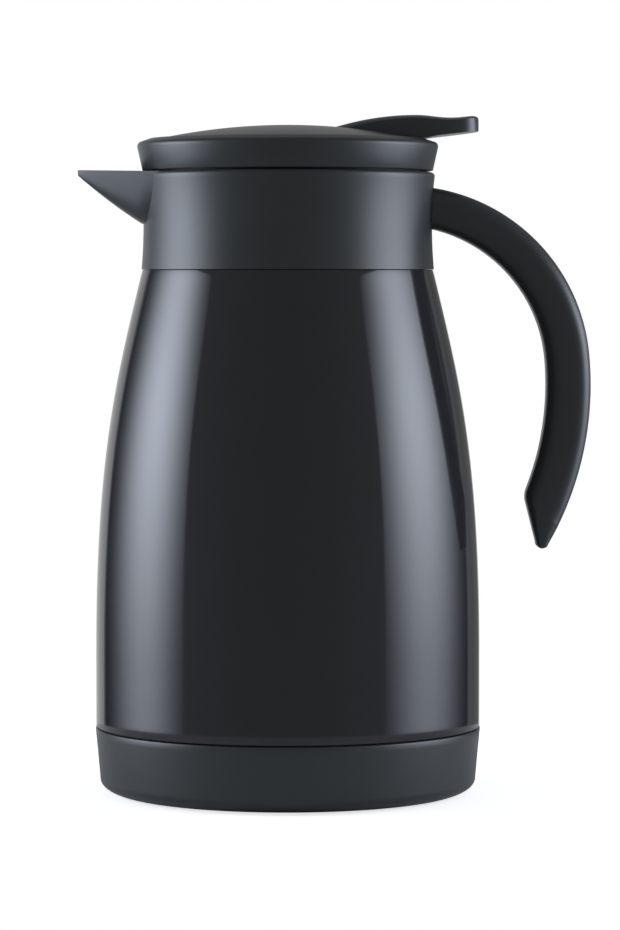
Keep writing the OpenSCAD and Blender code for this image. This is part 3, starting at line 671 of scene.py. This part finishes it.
# Half a circle is shaped to the spout's blunt section, then extruded along it and scaled at each step
def spoutBody(name, stations, lift):
    deselectAll()
    bpy.ops.mesh.primitive_circle_add(vertices=64, radius=mm, rotation=(0, radians(90), 0))
    body = settle(bpy.context.object, name)
    pick(body, "VERT", lambda vertex: vertex.co.z > 0.01 * mm)
    bpy.ops.mesh.delete(type="VERT")
    objectMode()
    for side in sorted({round(abs(vertex.co.y / mm), 4) for vertex in body.data.vertices}):
        depth = 1 - side ** spout["fullness"]
        pick(body, "VERT", lambda vertex: abs(abs(vertex.co.y / mm) - side) < 0.001)
        bpy.ops.transform.translate(value=(0, 0, (sqrt(max(0, 1 - side * side)) - depth) * mm))
    editMode(body)
    bpy.ops.mesh.edge_face_add()
    x, width, keel, top = 0, 1, -1, 0
    for index, (nextX, nextWidth, nextKeel, nextTop) in enumerate(stations):
        step = ((nextX - x) * mm, 0, (nextTop - top) * mm)
        advance(step, index == 0)
        tall = (nextTop - nextKeel) / (top - keel)
        bpy.ops.transform.resize(value=(1, nextWidth / width, tall),
                                 center_override=(nextX * mm, 0, nextTop * mm))
        x, width, keel, top = nextX, nextWidth, nextKeel, nextTop
    if lift:
        pick(body, "FACE", lambda face: abs(face.normal.z) > 0.99 and face.center.z > (top - 0.5) * mm)
        advance((0, 0, lift * mm), False)
    faceOutward(body)
    return body


def buildCollar():
    c = collar
    profile = collarSide() + [(c["bore"], c["top"]), (c["bore"], c["floor"] + 1), (c["bore"] - 1, c["floor"]),
                              (c["mouthRing"], c["floor"]), (c["mouthRing"], c["flange"]),
                              (c["skirtIn"], c["flange"]), (c["skirtIn"], c["skirtZ"]),
                              (c["skirtOut"], c["skirtZ"]), (c["skirtOut"], c["flange"] - 0.6),
                              (c["innerWall"], c["flange"] - 0.6), (c["innerWall"], c["foot"])]
    body = turned("collarBody", profile, 160)
    length = spout["root"] - spout["tip"]
    outer, inner = [], []
    wall = spout["wall"]
    for i in range(31):  # stations lie closer together towards the tip
        d = 0.15 + (length + 1 - 0.15) * (i / 30) ** 2
        outer.append((spout["tip"] + d, spoutWidth(d), spoutKeel(min(d, spout["keelLength"])), spoutTop(d)))
        d = wall + 0.1 + (length + 6 - wall - 0.1) * (i / 30) ** 2
        inner.append((spout["tip"] + d, spoutWidth(d - wall), max(spoutKeel(d) + wall, c["floor"] + 0.4),
                      c["top"] + spout["rise"]))
    beak = spoutBody("beak", outer[::-1], 0)
    room, ceiling = c["bore"] + 1.5, c["top"] + 20
    combine(beak, turned("beakRoom", [(tiny, c["foot"]), (room, c["foot"]), (room, ceiling), (tiny, ceiling)],
                         128, closed=False))
    combine(body, beak, "UNION")
    combine(body, spoutBody("channel", inner[::-1], 4))
    for side in (-1, 1):
        y, z = side * c["screwY"], c["screwZ"]
        combine(body, rod("screwWay", c["screwWay"], (40, y, z), (60, y, z)))
    tidyMesh(body)
    finishPiece(body, 18, "satinPlastic", "root", ["collar"])


buildCollar()

print("handle")
handle = {"outerCentre": (38.69, 140.6), "bend": 61.8, "grip": 107, "rootTurn": 82.75, "outerTurn": 5.9,
          "outerEnd": -29.6, "innerCentre": (37.1, 140.4), "innerBend": 48.8, "innerGrip": 96.8,
          "innerTurn": 4.7, "innerEnd": -22.5, "width": 18, "endWidth": 15, "edge": 4.5, "heelTurn": 4,
          "tipStep": (3.9, -15.6), "tipNarrower": 3, "tipDrop": 1.7, "stripWidth": 8, "stripDeep": 2.2,
          "stripStart": 0.12, "stripEnd": 0.93, "cornerSoft": 0.0139}


def twoArcs(t, centre, first, second, start, turn, end):
    a = start + (end - start) * t
    if a > turn:
        return centre[0] + first * cos(radians(a)), centre[1] + first * sin(radians(a))
    x = centre[0] - (second - first) * cos(radians(turn))
    z = centre[1] - (second - first) * sin(radians(turn))
    return x + second * cos(radians(a)), z + second * sin(radians(a))


def handleOut(t):
    return twoArcs(t, handle["outerCentre"], handle["bend"], handle["grip"], handle["rootTurn"],
                   handle["outerTurn"], handle["outerEnd"] + handle["heelTurn"])


def handleHeel(t):
    return twoArcs(t, handle["outerCentre"], handle["bend"], handle["grip"],
                   handle["outerEnd"] + handle["heelTurn"], handle["outerTurn"], handle["outerEnd"])


def handleIn(t):
    return twoArcs(t, handle["innerCentre"], handle["innerBend"], handle["innerGrip"], handle["rootTurn"] - 2,
                   handle["innerTurn"], handle["innerEnd"])


def handleWidth(t):
    if t < 0.5:
        return handle["width"] - 1 + sin(pi * t)
    return handle["endWidth"] + (handle["width"] - handle["endWidth"]) * (
        0.5 + 0.5 * cos(pi * (t - 0.5) / 0.62))


# A rounded section carried along stations (inner point, outer point, width): extruded, turned and scaled
def swept(name, stations, edge, segments=6):
    inner, outer, width = stations[0]
    thick = hypot(outer[0] - inner[0], outer[1] - inner[1])
    deselectAll()
    bpy.ops.mesh.primitive_plane_add(size=1)
    body = settle(bpy.context.object, name)
    editMode(body)
    bpy.ops.transform.resize(value=(thick * mm, width * mm, 1), center_override=(0, 0, 0))
    if edge:
        bpy.ops.mesh.bevel(offset=edge * mm, segments=segments, affect="VERTICES")
        bpy.ops.mesh.select_all(action="SELECT")
    centre, turn = (0, 0), 0
    for index, (inner, outer, nextWidth) in enumerate(stations):
        nextThick = hypot(outer[0] - inner[0], outer[1] - inner[1])
        place = ((inner[0] + outer[0]) / 2, (inner[1] + outer[1]) / 2)
        nextTurn = atan2(outer[1] - inner[1], outer[0] - inner[0])
        step = ((place[0] - centre[0]) * mm, 0, (place[1] - centre[1]) * mm)
        advance(step, index == 0)
        pivot = (place[0] * mm, 0, place[1] * mm)
        bpy.ops.transform.rotate(value=nextTurn - turn, orient_axis="Y", center_override=pivot)
        along = Matrix.Rotation(-nextTurn, 3, "Y")
        bpy.ops.transform.resize(value=(nextThick / thick, nextWidth / width, 1), orient_type="GLOBAL",
                                 orient_matrix=along, orient_matrix_type="GLOBAL", center_override=pivot)
        centre, turn, thick, width = place, nextTurn, nextThick, nextWidth
    objectMode()
    faceOutward(body)
    return body


# Stations along the inside of the grip, from a lift off it to the strip's depth
def stripStations(start, span, lift, narrower):
    stations = []
    for i in range(49):
        t = start + span * i / 48
        inner, outer = Vector(handleIn(t)), Vector(handleOut(t))
        out = (outer - inner).normalized()
        stations.append((tuple(inner + out * lift), tuple(inner + out * handle["stripDeep"]),
                         handle["stripWidth"] - narrower))
    return stations


def buildHandle():
    steps = 72
    stations = [(handleIn(i / steps), handleOut(i / steps), handleWidth(i / steps)) for i in range(steps)]
    corner, soft = handleIn(1), handle["cornerSoft"]
    tipIn = (corner[0] + handle["tipStep"][0], corner[1] + handle["tipStep"][1])
    tipWidth = handle["endWidth"] - handle["tipNarrower"]
    before = handleIn(1 - soft)
    after = [a + (b - a) * 0.15 for a, b in zip(corner, tipIn)]
    for i in range(1, 6):  # the inner corner, softened
        t = i / 6
        inner = tuple((1 - t) ** 2 * a + 2 * t * (1 - t) * b + t * t * c
                      for a, b, c in zip(before, corner, after))
        outer = handleOut(1 - soft + 2 * soft * t) if t <= 0.5 else handleHeel((2 * t - 1) * 0.15)
        stations.append((inner, outer, handleWidth(1)))
    for i in range(2, 15):
        t = i / 14 if i > 2 else 0.15
        stations.append(((corner[0] + (tipIn[0] - corner[0]) * t, corner[1] + (tipIn[1] - corner[1]) * t),
                         handleHeel(t), handleWidth(1) + (tipWidth - handleWidth(1)) * t))
    heel = handleHeel(1)
    half = ((heel[0] - tipIn[0]) / 2, (heel[1] - tipIn[1]) / 2)
    length = hypot(*half)
    down = (half[1] / length * handle["tipDrop"], -half[0] / length * handle["tipDrop"])
    for i in range(1, 7):
        a = radians(i * 13.5)
        mid = (tipIn[0] + half[0] + down[0] * sin(a), tipIn[1] + half[1] + down[1] * sin(a))
        stations.append(((mid[0] - half[0] * cos(a), mid[1] - half[1] * cos(a)),
                         (mid[0] + half[0] * cos(a), mid[1] + half[1] * cos(a)),
                         tipWidth - 2 * handle["tipDrop"] * (1 - cos(a))))
    grip = swept("handleBody", stations, handle["edge"])
    combine(grip, turned("collarRoom", [(tiny, collar["foot"])] + collarSide() + [(tiny, collar["top"])],
                         160, closed=False))
    start, span = handle["stripStart"], handle["stripEnd"] - handle["stripStart"]
    combine(grip, swept("stripRoom", stripStations(start, handle["stripEnd"] + 0.002 - start, -1, 0), 0))
    tidyMesh(grip)
    roundEdges(grip, 0.25, 2, 42)
    finishPiece(grip, 38, "satinPlastic", "root", ["handle"])
    strip = swept("handleCover", stripStations(start + 0.001, span, 0.05, 0.2), 0)
    roundEdges(strip, 0.2, 3, 42)
    finishPiece(strip, 38, "satinPlastic", "root", ["handle_strip"])


buildHandle()

print("lid")
lid = {"foot": 207.4, "top": 218, "bottomRadius": 48.3, "topRadius": 50, "round": 1.6, "cornerZ": 215.4,
       "dome": 44.4, "borderDrop": 0.3, "domeEdge": 217.6, "domeTop": 222.5, "ledge": 215.6, "ledgeIn": 42.4,
       "shelf": 214, "inner": 46.3, "wall": 2, "slotGap": 0.5, "slotFloor": 216.79, "plateTop": 209.4,
       "post": 3.2, "postHole": 1.4, "screwRing": 37.95, "screwTurns": (50, 130, 230, 310)}
lever = {"inner": 15.5, "outer": 63.4, "width": 23, "grow": 1.6, "crestX": 42.4, "crest": 225.79, "back": 91,
         "dish": 0.9, "dishSpan": 11.6, "thick": 5.3, "slope": 0.118, "bellyFrom": 40.4, "crown": 1.3,
         "endDrop": 1.2, "pinX": 35, "pinZ": 213, "pinRadius": 1.56, "hub": 3.0, "ribHalf": 6, "armZ": 209.9,
         "armHigh": 2.5, "armHalf": 7, "armEnd": -5.6, "fork": 3.6}


def leverHalfWidth(u):
    return (lever["width"] / 2 - 1.1 + lever["grow"] * u) * max(0, 1 - abs(u) ** 4.5) ** (1 / 3)


def leverTop(x):
    if x < lever["crestX"]:
        return lever["crest"] - (lever["crestX"] - x) ** 2 / (2 * lever["back"])
    return lever["crest"] - lever["dish"] * (1 - cos(pi * (x - lever["crestX"]) / lever["dishSpan"])) / 2


def leverUnder(x):
    return leverTop(lever["outer"]) - lever["thick"] - lever["slope"] * (
        lever["outer"] - max(x, lever["bellyFrom"]))


# A block's top edge is divided and crowned; this section is extruded along the lever and scaled to each place
def leverSolid(name, steps, topOf, underOf, extra, crown):
    middle, half = (lever["inner"] + lever["outer"]) / 2, (lever["outer"] - lever["inner"]) / 2
    deselectAll()
    bpy.ops.mesh.primitive_plane_add(size=2 * mm, rotation=(0, radians(90), 0))
    body = settle(bpy.context.object, name)
    pick(body, "EDGE", lambda edge: all(body.data.vertices[i].co.z > 0 for i in edge.vertices))
    bpy.ops.mesh.subdivide(number_cuts=15)
    objectMode()
    for k in range(8):  # points across, closer together towards the edges
        side = (k + 1) / 8
        spread = sin(radians(90 * side))
        pick(body, "VERT", lambda vertex: vertex.co.z > 0.9 * mm and abs(abs(vertex.co.y / mm) - side) < 0.01)
        bpy.ops.transform.resize(value=(1, spread / side, 1), center_override=(0, 0, 0))
        bpy.ops.transform.translate(value=(0, 0, -crown * spread ** 5 * mm))
    editMode(body)
    bpy.ops.transform.translate(value=(0, 0, -mm))
    x, wide, top, tall = 0, 1, 0, 1
    for index in range(steps + 1):
        u = -cos(pi * index / steps) * 0.9965
        nextX = middle + (half + extra) * u
        nextWide = leverHalfWidth(u) + extra
        nextTall = 1 - 0.35 * u
        step = ((nextX - x) * mm, 0, (topOf(nextX, u) - top) * mm)
        advance(step, index == 0)
        x, top = nextX, topOf(nextX, u)
        bpy.ops.transform.resize(value=(1, nextWide / wide, nextTall / tall),
                                 center_override=(x * mm, 0, top * mm))
        wide, tall = nextWide, nextTall
    objectMode()
    places = sorted({round(vertex.co.x / mm, 4) for vertex in body.data.vertices})
    for place in places:  # the underside
        def inRow(vertex):
            return abs(vertex.co.x / mm - place) < 0.001
        floorZ = min(vertex.co.z for vertex in body.data.vertices if inRow(vertex))
        pick(body, "VERT", lambda vertex: inRow(vertex) and vertex.co.z < floorZ + 0.1 * mm)
        bpy.ops.transform.translate(value=(0, 0, underOf(place) * mm - floorZ))
    faceOutward(body)
    return body


def leverSlot(low):
    return leverSolid("leverSlot", 40, lambda x, u: low + 20, lambda x: low, lid["slotGap"], 0)


def lidScrewPlaces():
    return [(lid["screwRing"] * cos(radians(turn)), lid["screwRing"] * sin(radians(turn)))
            for turn in lid["screwTurns"]]


def buildLid():
    foot, top, dome, ledge, ledgeIn = lid["foot"], lid["top"], lid["dome"], lid["ledge"], lid["ledgeIn"]
    edge = lid["topRadius"] - lid["round"]
    profile = [(lid["bottomRadius"] - 0.15, foot), (lid["bottomRadius"] + 0.04, foot + 0.2),
               (lid["topRadius"] - 0.02, lid["cornerZ"] - 0.3)]
    profile += arcPoints((edge, lid["cornerZ"]), lid["round"], lid["round"], -4, 71, 12)
    profile += [(edge - 1.6, top - 0.35), (edge - 2.5, top - 0.03), (edge - 3.1, top - 0.1),
                (dome + 0.35, top - lid["borderDrop"]), (dome + 0.2, top - 0.5), (dome + 0.2, ledge),
                (ledgeIn, ledge), (ledgeIn, lid["shelf"]), (lid["inner"] + 1, lid["shelf"]),
                (lid["inner"], foot + 1), (lid["inner"], foot)]
    rim = turned("lidRim", profile, 160)
    combine(rim, leverSlot(lid["slotFloor"]))
    tidyMesh(rim)
    roundEdges(rim, 0.22, 2, 40)
    finishPiece(rim, 38, "satinPlastic", "stopper", ["lid_rim"])
    rise = lid["domeTop"] - lid["domeEdge"]
    ball = (dome ** 2 + rise ** 2) / (2 * rise)
    swing = degrees(asin(dome / ball))
    under, hole, centre = ball - lid["wall"], ledgeIn - 1, (0, lid["domeTop"] - ball)
    outside = arcPoints(centre, ball, ball, 90, 90 - swing, 30)
    inside = arcPoints(centre, under, under, 90 - degrees(asin(hole / under)), 90, 20)
    cap = turned("lidDome", outside + [(dome, ledge), (hole, ledge)] + inside, 160, closed=False)
    for x, y in lidScrewPlaces():
        combine(cap, rod("lidPost", lid["post"], (x, y, lid["plateTop"]), (x, y, ledge + 1.6)), "UNION")
        combine(cap, rod("lidPostHole", lid["postHole"], (x, y, lid["plateTop"] - 1), (x, y, ledge)))
    combine(cap, leverSlot(lid["plateTop"] - 1))
    tidyMesh(cap)
    roundEdges(cap, 0.22, 2, 40)
    finishPiece(cap, 38, "smoothPlastic", "stopper", ["lid_dome"])


buildLid()

print("lever")


def buildLever():
    x, z, rib, hub = lever["pinX"], lever["pinZ"], lever["ribHalf"], lever["hub"]
    arm, armZ, fork = lever["armHalf"], lever["armZ"], lever["fork"]
    paddle = leverSolid("leverBody", 56,
                        lambda place, u: leverTop(place) - lever["endDrop"] * max(0, u) ** 30,
                        leverUnder, 0, lever["crown"])
    roundEdges(paddle, 1.1, 5, 50)
    for tool in (block("leverRib", (x - hub - 8, -rib, z), (x + hub + 1, rib, leverUnder(x) + 0.5)),
                 rod("leverHub", hub, (x, -rib, z), (x, rib, z), 64),
                 block("leverArm", (lever["armEnd"], -arm, armZ), (x, arm, armZ + lever["armHigh"]))):
        combine(paddle, tool, "UNION")
    combine(paddle, rod("forkEnd", fork, (0, 0, 205), (0, 0, 214)))
    combine(paddle, block("forkMouth", (-12, -fork, 205), (0, fork, 214)))
    combine(paddle, rod("pinBore", lever["pinRadius"], (x, -20, z), (x, 20, z)))
    tidyMesh(paddle)
    finishPiece(paddle, 38, "smoothPlastic", "lever", ["lever"])


buildLever()

print("stopper")
stopper = {"bottom": 177, "radius": 34.4, "inner": 31.8, "seat": 16, "seatTop": 179.4, "grooveZ": 179.2,
           "grooveTop": 184.7, "groove": 33, "lid": 207.4, "plate": 209.4, "plateRadius": 45.9, "shelf": 214,
           "hoop": 44.1, "hoopIn": 41.5, "hoopZ": 204, "seal": 43.3, "boss": 7.6, "bossZ": 200.4, "bush": 5,
           "windows": 6, "windowZ": 196.8, "windowTop": 203.2, "windowWide": 14.4, "earY": 8, "earThick": 3.2,
           "earRadius": 3.1, "earHalf": 4.1, "lugRadius": 35.1, "lugZ": 187, "lugHigh": 2.2, "lugRise": 2.6,
           "lugSpan": 56, "lugs": 3, "finPitch": 1.63, "pin": 1.5}


# One slanting lug: its section is moved up and round in small steps
def buildLug(name):
    steps = 14
    lug = block(name, (stopper["radius"] - 0.4, -0.05, stopper["lugZ"]),
                (stopper["lugRadius"], 0.05, stopper["lugZ"] + stopper["lugHigh"]))
    pick(lug, "FACE", lambda face: face.normal.y > 0.9)
    for step in range(steps):
        advance((0, 0, stopper["lugRise"] / steps * mm), False)
        bpy.ops.transform.rotate(value=-radians(stopper["lugSpan"] / steps), orient_axis="Z",
                                 center_override=(0, 0, 0))
    objectMode()
    tidyMesh(lug)
    roundEdges(lug, 0.25, 2, 50)
    return lug


def buildStopper():
    s = stopper
    radius, inner, groove, foot, plate = s["radius"], s["inner"], s["groove"], s["bottom"], s["plate"]
    hoop, hoopZ, seal = s["hoop"], s["hoopZ"], s["seal"]
    flat, wide, shelf = s["lid"], s["plateRadius"], s["shelf"]
    profile = [(s["seat"], foot), (radius - 1, foot), (radius - 0.3, foot + 0.3), (radius, foot + 1),
               (radius, s["grooveZ"]), (groove, s["grooveZ"]), (groove, s["grooveTop"]),
               (radius, s["grooveTop"]), (radius, flat), (s["hoopIn"], flat), (s["hoopIn"], hoopZ),
               (seal, hoopZ), (seal, hoopZ + 0.6), (hoop, hoopZ + 0.6), (hoop, hoopZ + 0.9),
               (seal, hoopZ + 0.9), (seal, hoopZ + 2.6), (hoop, hoopZ + 2.6), (hoop, flat), (wide, flat),
               (wide, shelf), (wide - 2, shelf), (wide - 2, plate), (s["bush"], plate),
               (s["bush"], s["bossZ"]), (s["boss"], s["bossZ"]), (s["boss"], flat), (inner, flat),
               (inner, s["seatTop"]), (s["seat"], s["seatTop"])]
    body = turned("stopperBody", profile, 160)
    for k in range(s["windows"]):
        window = block("window", (inner - 3, -s["windowWide"] / 2, s["windowZ"]),
                       (radius + 3, s["windowWide"] / 2, s["windowTop"]))
        pick(window, "EDGE", lambda edge: abs(window.data.vertices[edge.vertices[0]].co.x
                                              - window.data.vertices[edge.vertices[1]].co.x) > mm)
        bpy.ops.mesh.bevel(offset=1.6 * mm, segments=5)
        objectMode()
        combine(body, turnAbout(window, 60 * k + 30))
    x, z = lever["pinX"], lever["pinZ"]
    for side in (-1, 1):
        near, far = side * s["earY"] - s["earThick"] / 2, side * s["earY"] + s["earThick"] / 2
        ear = block("ear", (x - s["earHalf"], near, plate - 0.1), (x + s["earHalf"], far, z))
        combine(body, ear, "UNION")
        combine(body, rod("earRound", s["earRadius"], (x, near, z), (x, far, z), 64), "UNION")
    for screwX, screwY in lidScrewPlaces():
        combine(body, rod("screwHole", 1.5, (screwX, screwY, flat - 1), (screwX, screwY, plate + 1), 32))
    combine(body, rod("pinHole", s["pin"], (x, -20, z), (x, 20, z)))
    for k in range(s["lugs"]):
        combine(body, turnAbout(buildLug("lug"), 360 / s["lugs"] * k + 10), "UNION")
    tidyMesh(body)
    roundEdges(body, 0.18, 2, 50)
    finishPiece(body, 35, "innerPlastic", "stopper", ["stopper_body"])
    fins = [(33.3, 179.5), (34, 179.5)]
    for k in range(3):
        z = 179.6 + s["finPitch"] * k
        fins += [(34.1, z), (34.75, z + 0.3), (35.02, z + 0.48), (35.1, z + 0.66), (35.02, z + 0.84),
                 (34.75, z + 1), (34.1, z + 1.3)]
    fins += [(34.1, 184.4), (33.3, 184.4)]
    ring(("plugGasket", "stopper_ring", "silicone", "stopper_gasket"), fins, "silicone")
    ring(("upperSeal", "stopper", "silicone", "upper_seal"),
         [(43.3, 204.9), (43.75, 204.9), (44.08, 205.16), (44.19, 205.42), (44.2, 205.7), (44.06, 206.1),
          (43.75, 206.5), (43.6, 206.6), (43.3, 206.6)], "silicone")
    ring(("stemBush", "stopper", "bush_plastic", "stem_bush"),
         [(3.36, 200.4), (4.6, 200.4), (5, 200.8), (5, 209), (4.7, 209.4), (3.36, 209.4), (3.06, 209.1),
          (3.06, 200.7)], "bushPlastic")


buildStopper()

print("valve")
valve = {"discZ": 180.9, "disc": 20.5, "nose": 11, "noseZ": 177.4, "hub": 5.6, "stem": 3, "stemTop": 214.7,
         "capZ": 213.1, "cap": 6, "capHigh": 2.2, "sealZ": 179.7, "sealOut": 19.9, "coil": 9.1, "wire": 1.2,
         "springZ": 183.8, "springTop": 206.7, "turns": 6}


def buildValve():
    v = valve
    z, disc, nose, noseZ, hub, stem = v["discZ"], v["disc"], v["nose"], v["noseZ"], v["hub"], v["stem"]
    sealZ, cap, capZ, stemTop = v["sealZ"], v["cap"], v["capZ"], v["stemTop"]
    ring(("valveDisc", "valve", "plastic_inner", "valve_disc"),
         [(0, noseZ), (nose - 1, noseZ), (nose - 0.2, noseZ + 0.4), (nose, noseZ + 1.2), (nose, z),
          (disc - 0.3, z), (disc, z + 0.4), (disc, z + 1.8), (disc - 0.4, z + 2.2), (16.5, z + 2.2),
          (16.2, z + 1.9), (11, z + 1.9), (10.7, z + 2.2), (hub + 1, z + 2.2), (hub + 0.2, z + 2.7),
          (hub, z + 3.4), (hub, z + 4.9), (hub - 0.3, z + 5.2), (stem, z + 5.2), (stem, z), (0, z)],
         "innerPlastic", False)
    ring(("valveSeal", "valve", "silicone", "valve_seal"),
         [(nose, sealZ + 0.2), (14.6, sealZ + 0.2), (15.4, sealZ), (17.2, sealZ), (18, sealZ + 0.2),
          (19.5, sealZ + 0.2), (v["sealOut"], sealZ + 0.6), (v["sealOut"], z), (nose, z)], "silicone")
    ring(("valveStem", "valve", "steel_small", "valve_stem"),
         [(0, z), (stem, z), (stem, 208), (stem - 0.15, 208.2), (stem - 0.15, 208.6), (stem, 208.8),
          (stem, stemTop - 0.4), (stem - 0.4, stemTop), (0, stemTop)], "turnedSteel", False, 0.05)
    top = capZ + v["capHigh"]
    ring(("stemCap", "valve", "plastic_inner", "stem_cap"),
         [(stem, capZ), (cap - 0.4, capZ), (cap, capZ + 0.4), (cap, top - 1), (cap - 0.3, top - 0.45),
          (cap - 1, top - 0.12), (cap - 2.2, top), (0, top), (0, stemTop), (stem, stemTop)], "innerPlastic")
    deselectAll()
    bpy.ops.mesh.primitive_circle_add(vertices=16, radius=v["wire"] / 2 * mm, rotation=(radians(90), 0, 0),
                                      location=(v["coil"] * mm, 0, v["springZ"] * mm))
    spring = settle(bpy.context.object, "valveSpring")
    winding = spring.modifiers.new("winding", "SCREW")
    winding.axis = "Z"
    winding.screw_offset = (v["springTop"] - v["springZ"]) / v["turns"] * mm
    winding.iterations = v["turns"]
    winding.steps = winding.render_steps = 36
    winding.use_merge_vertices = True
    winding.merge_threshold = 0.00001
    applyModifier(spring, winding)
    pick(spring, "EDGE", lambda edge: False)
    bpy.ops.mesh.select_non_manifold()
    bpy.ops.mesh.fill_holes(sides=0)
    objectMode()
    tidyMesh(spring)
    finishPiece(spring, 50, "turnedSteel", "stopper", ["valve_spring"])
    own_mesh(spring)


buildValve()

print("fasteners and seals")
screw = {"head": 2.7, "headHigh": 2, "shank": 1.4, "pitch": 0.7, "threadDeep": 0.22, "slot": 0.6,
         "slotHalf": 1.5, "slotDeep": 1, "lidHeadZ": 205.4, "lidLength": 6.7, "handleX": 43.35,
         "handleLength": 12}


# A pan-head screw with a cross recess, its head at the origin and its tip at +Z
def crossScrew(length):
    s = screw
    head, high, shank, pitch = s["head"], s["headHigh"], s["shank"], s["pitch"]
    profile = [(0, 0), (1.5, 0.02), (2.2, 0.2), (head - 0.12, 0.7), (head, 1.2), (head, high), (shank, high)]
    for k in range(int((length - 1.4) / pitch)):
        z = high + 0.5 + k * pitch
        profile += [(shank - s["threadDeep"], z), (shank, z + pitch / 2)]
    profile += [(shank - 0.3, high + length - 0.4), (0, high + length)]
    piece = turned("crossScrew", profile, 48, closed=False)
    for x, y in ((s["slotHalf"], s["slot"] / 2), (s["slot"] / 2, s["slotHalf"])):
        combine(piece, block("recess", (-x, -y, -1), (x, y, s["slotDeep"])))
    tidyMesh(piece)
    return piece


def copiesOf(model, places, tilt):
    copies = []
    for place in places:
        twin = model.copy()
        twin.data = model.data.copy()
        bpy.context.collection.objects.link(twin)
        twin.rotation_euler = (0, tilt, 0)
        twin.location = [value * mm for value in place]
        copies.append(twin)
    bpy.data.objects.remove(model)
    return copies


def buildFasteners():
    lidPlaces = [(x, y, screw["lidHeadZ"]) for x, y in lidScrewPlaces()]
    lidScrews = joined("lidScrews", copiesOf(crossScrew(screw["lidLength"]), lidPlaces, 0))
    finishPiece(lidScrews, 35, "turnedSteel", "stopper", ["lid_screws"])
    handlePlaces = [(screw["handleX"], side * collar["screwY"], collar["screwZ"]) for side in (-1, 1)]
    handleScrews = joined("handleScrews",
                          copiesOf(crossScrew(screw["handleLength"]), handlePlaces, radians(90)))
    finishPiece(handleScrews, 35, "turnedSteel", "root", ["handle_screws"])
    x, z = lever["pinX"], lever["pinZ"]
    pin = rod("leverPin", stopper["pin"], (x, -9.4, z), (x, 9.4, z))
    roundEdges(pin, 0.3, 3, 50)
    finishPiece(pin, 35, "turnedSteel", "stopper", ["lever_pin"])
    ring(("mouthGasket", "root", "silicone", "collar_gasket"),
         [(35.9, 193), (37.8, 193), (37.8, 194.5), (37.4, 194.5), (37.2, 194.3), (36.6, 194.3), (36.4, 194.5),
          (35.9, 194.5)], "silicone")


buildFasteners()

nodeFinishes = {"shell_bottom": "drawnSteel", "getter": "turnedSteel", "vacuum_seal": "turnedSteel"}
for node, finish in nodeFinishes.items():
    paintPiece(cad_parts[node], finish)
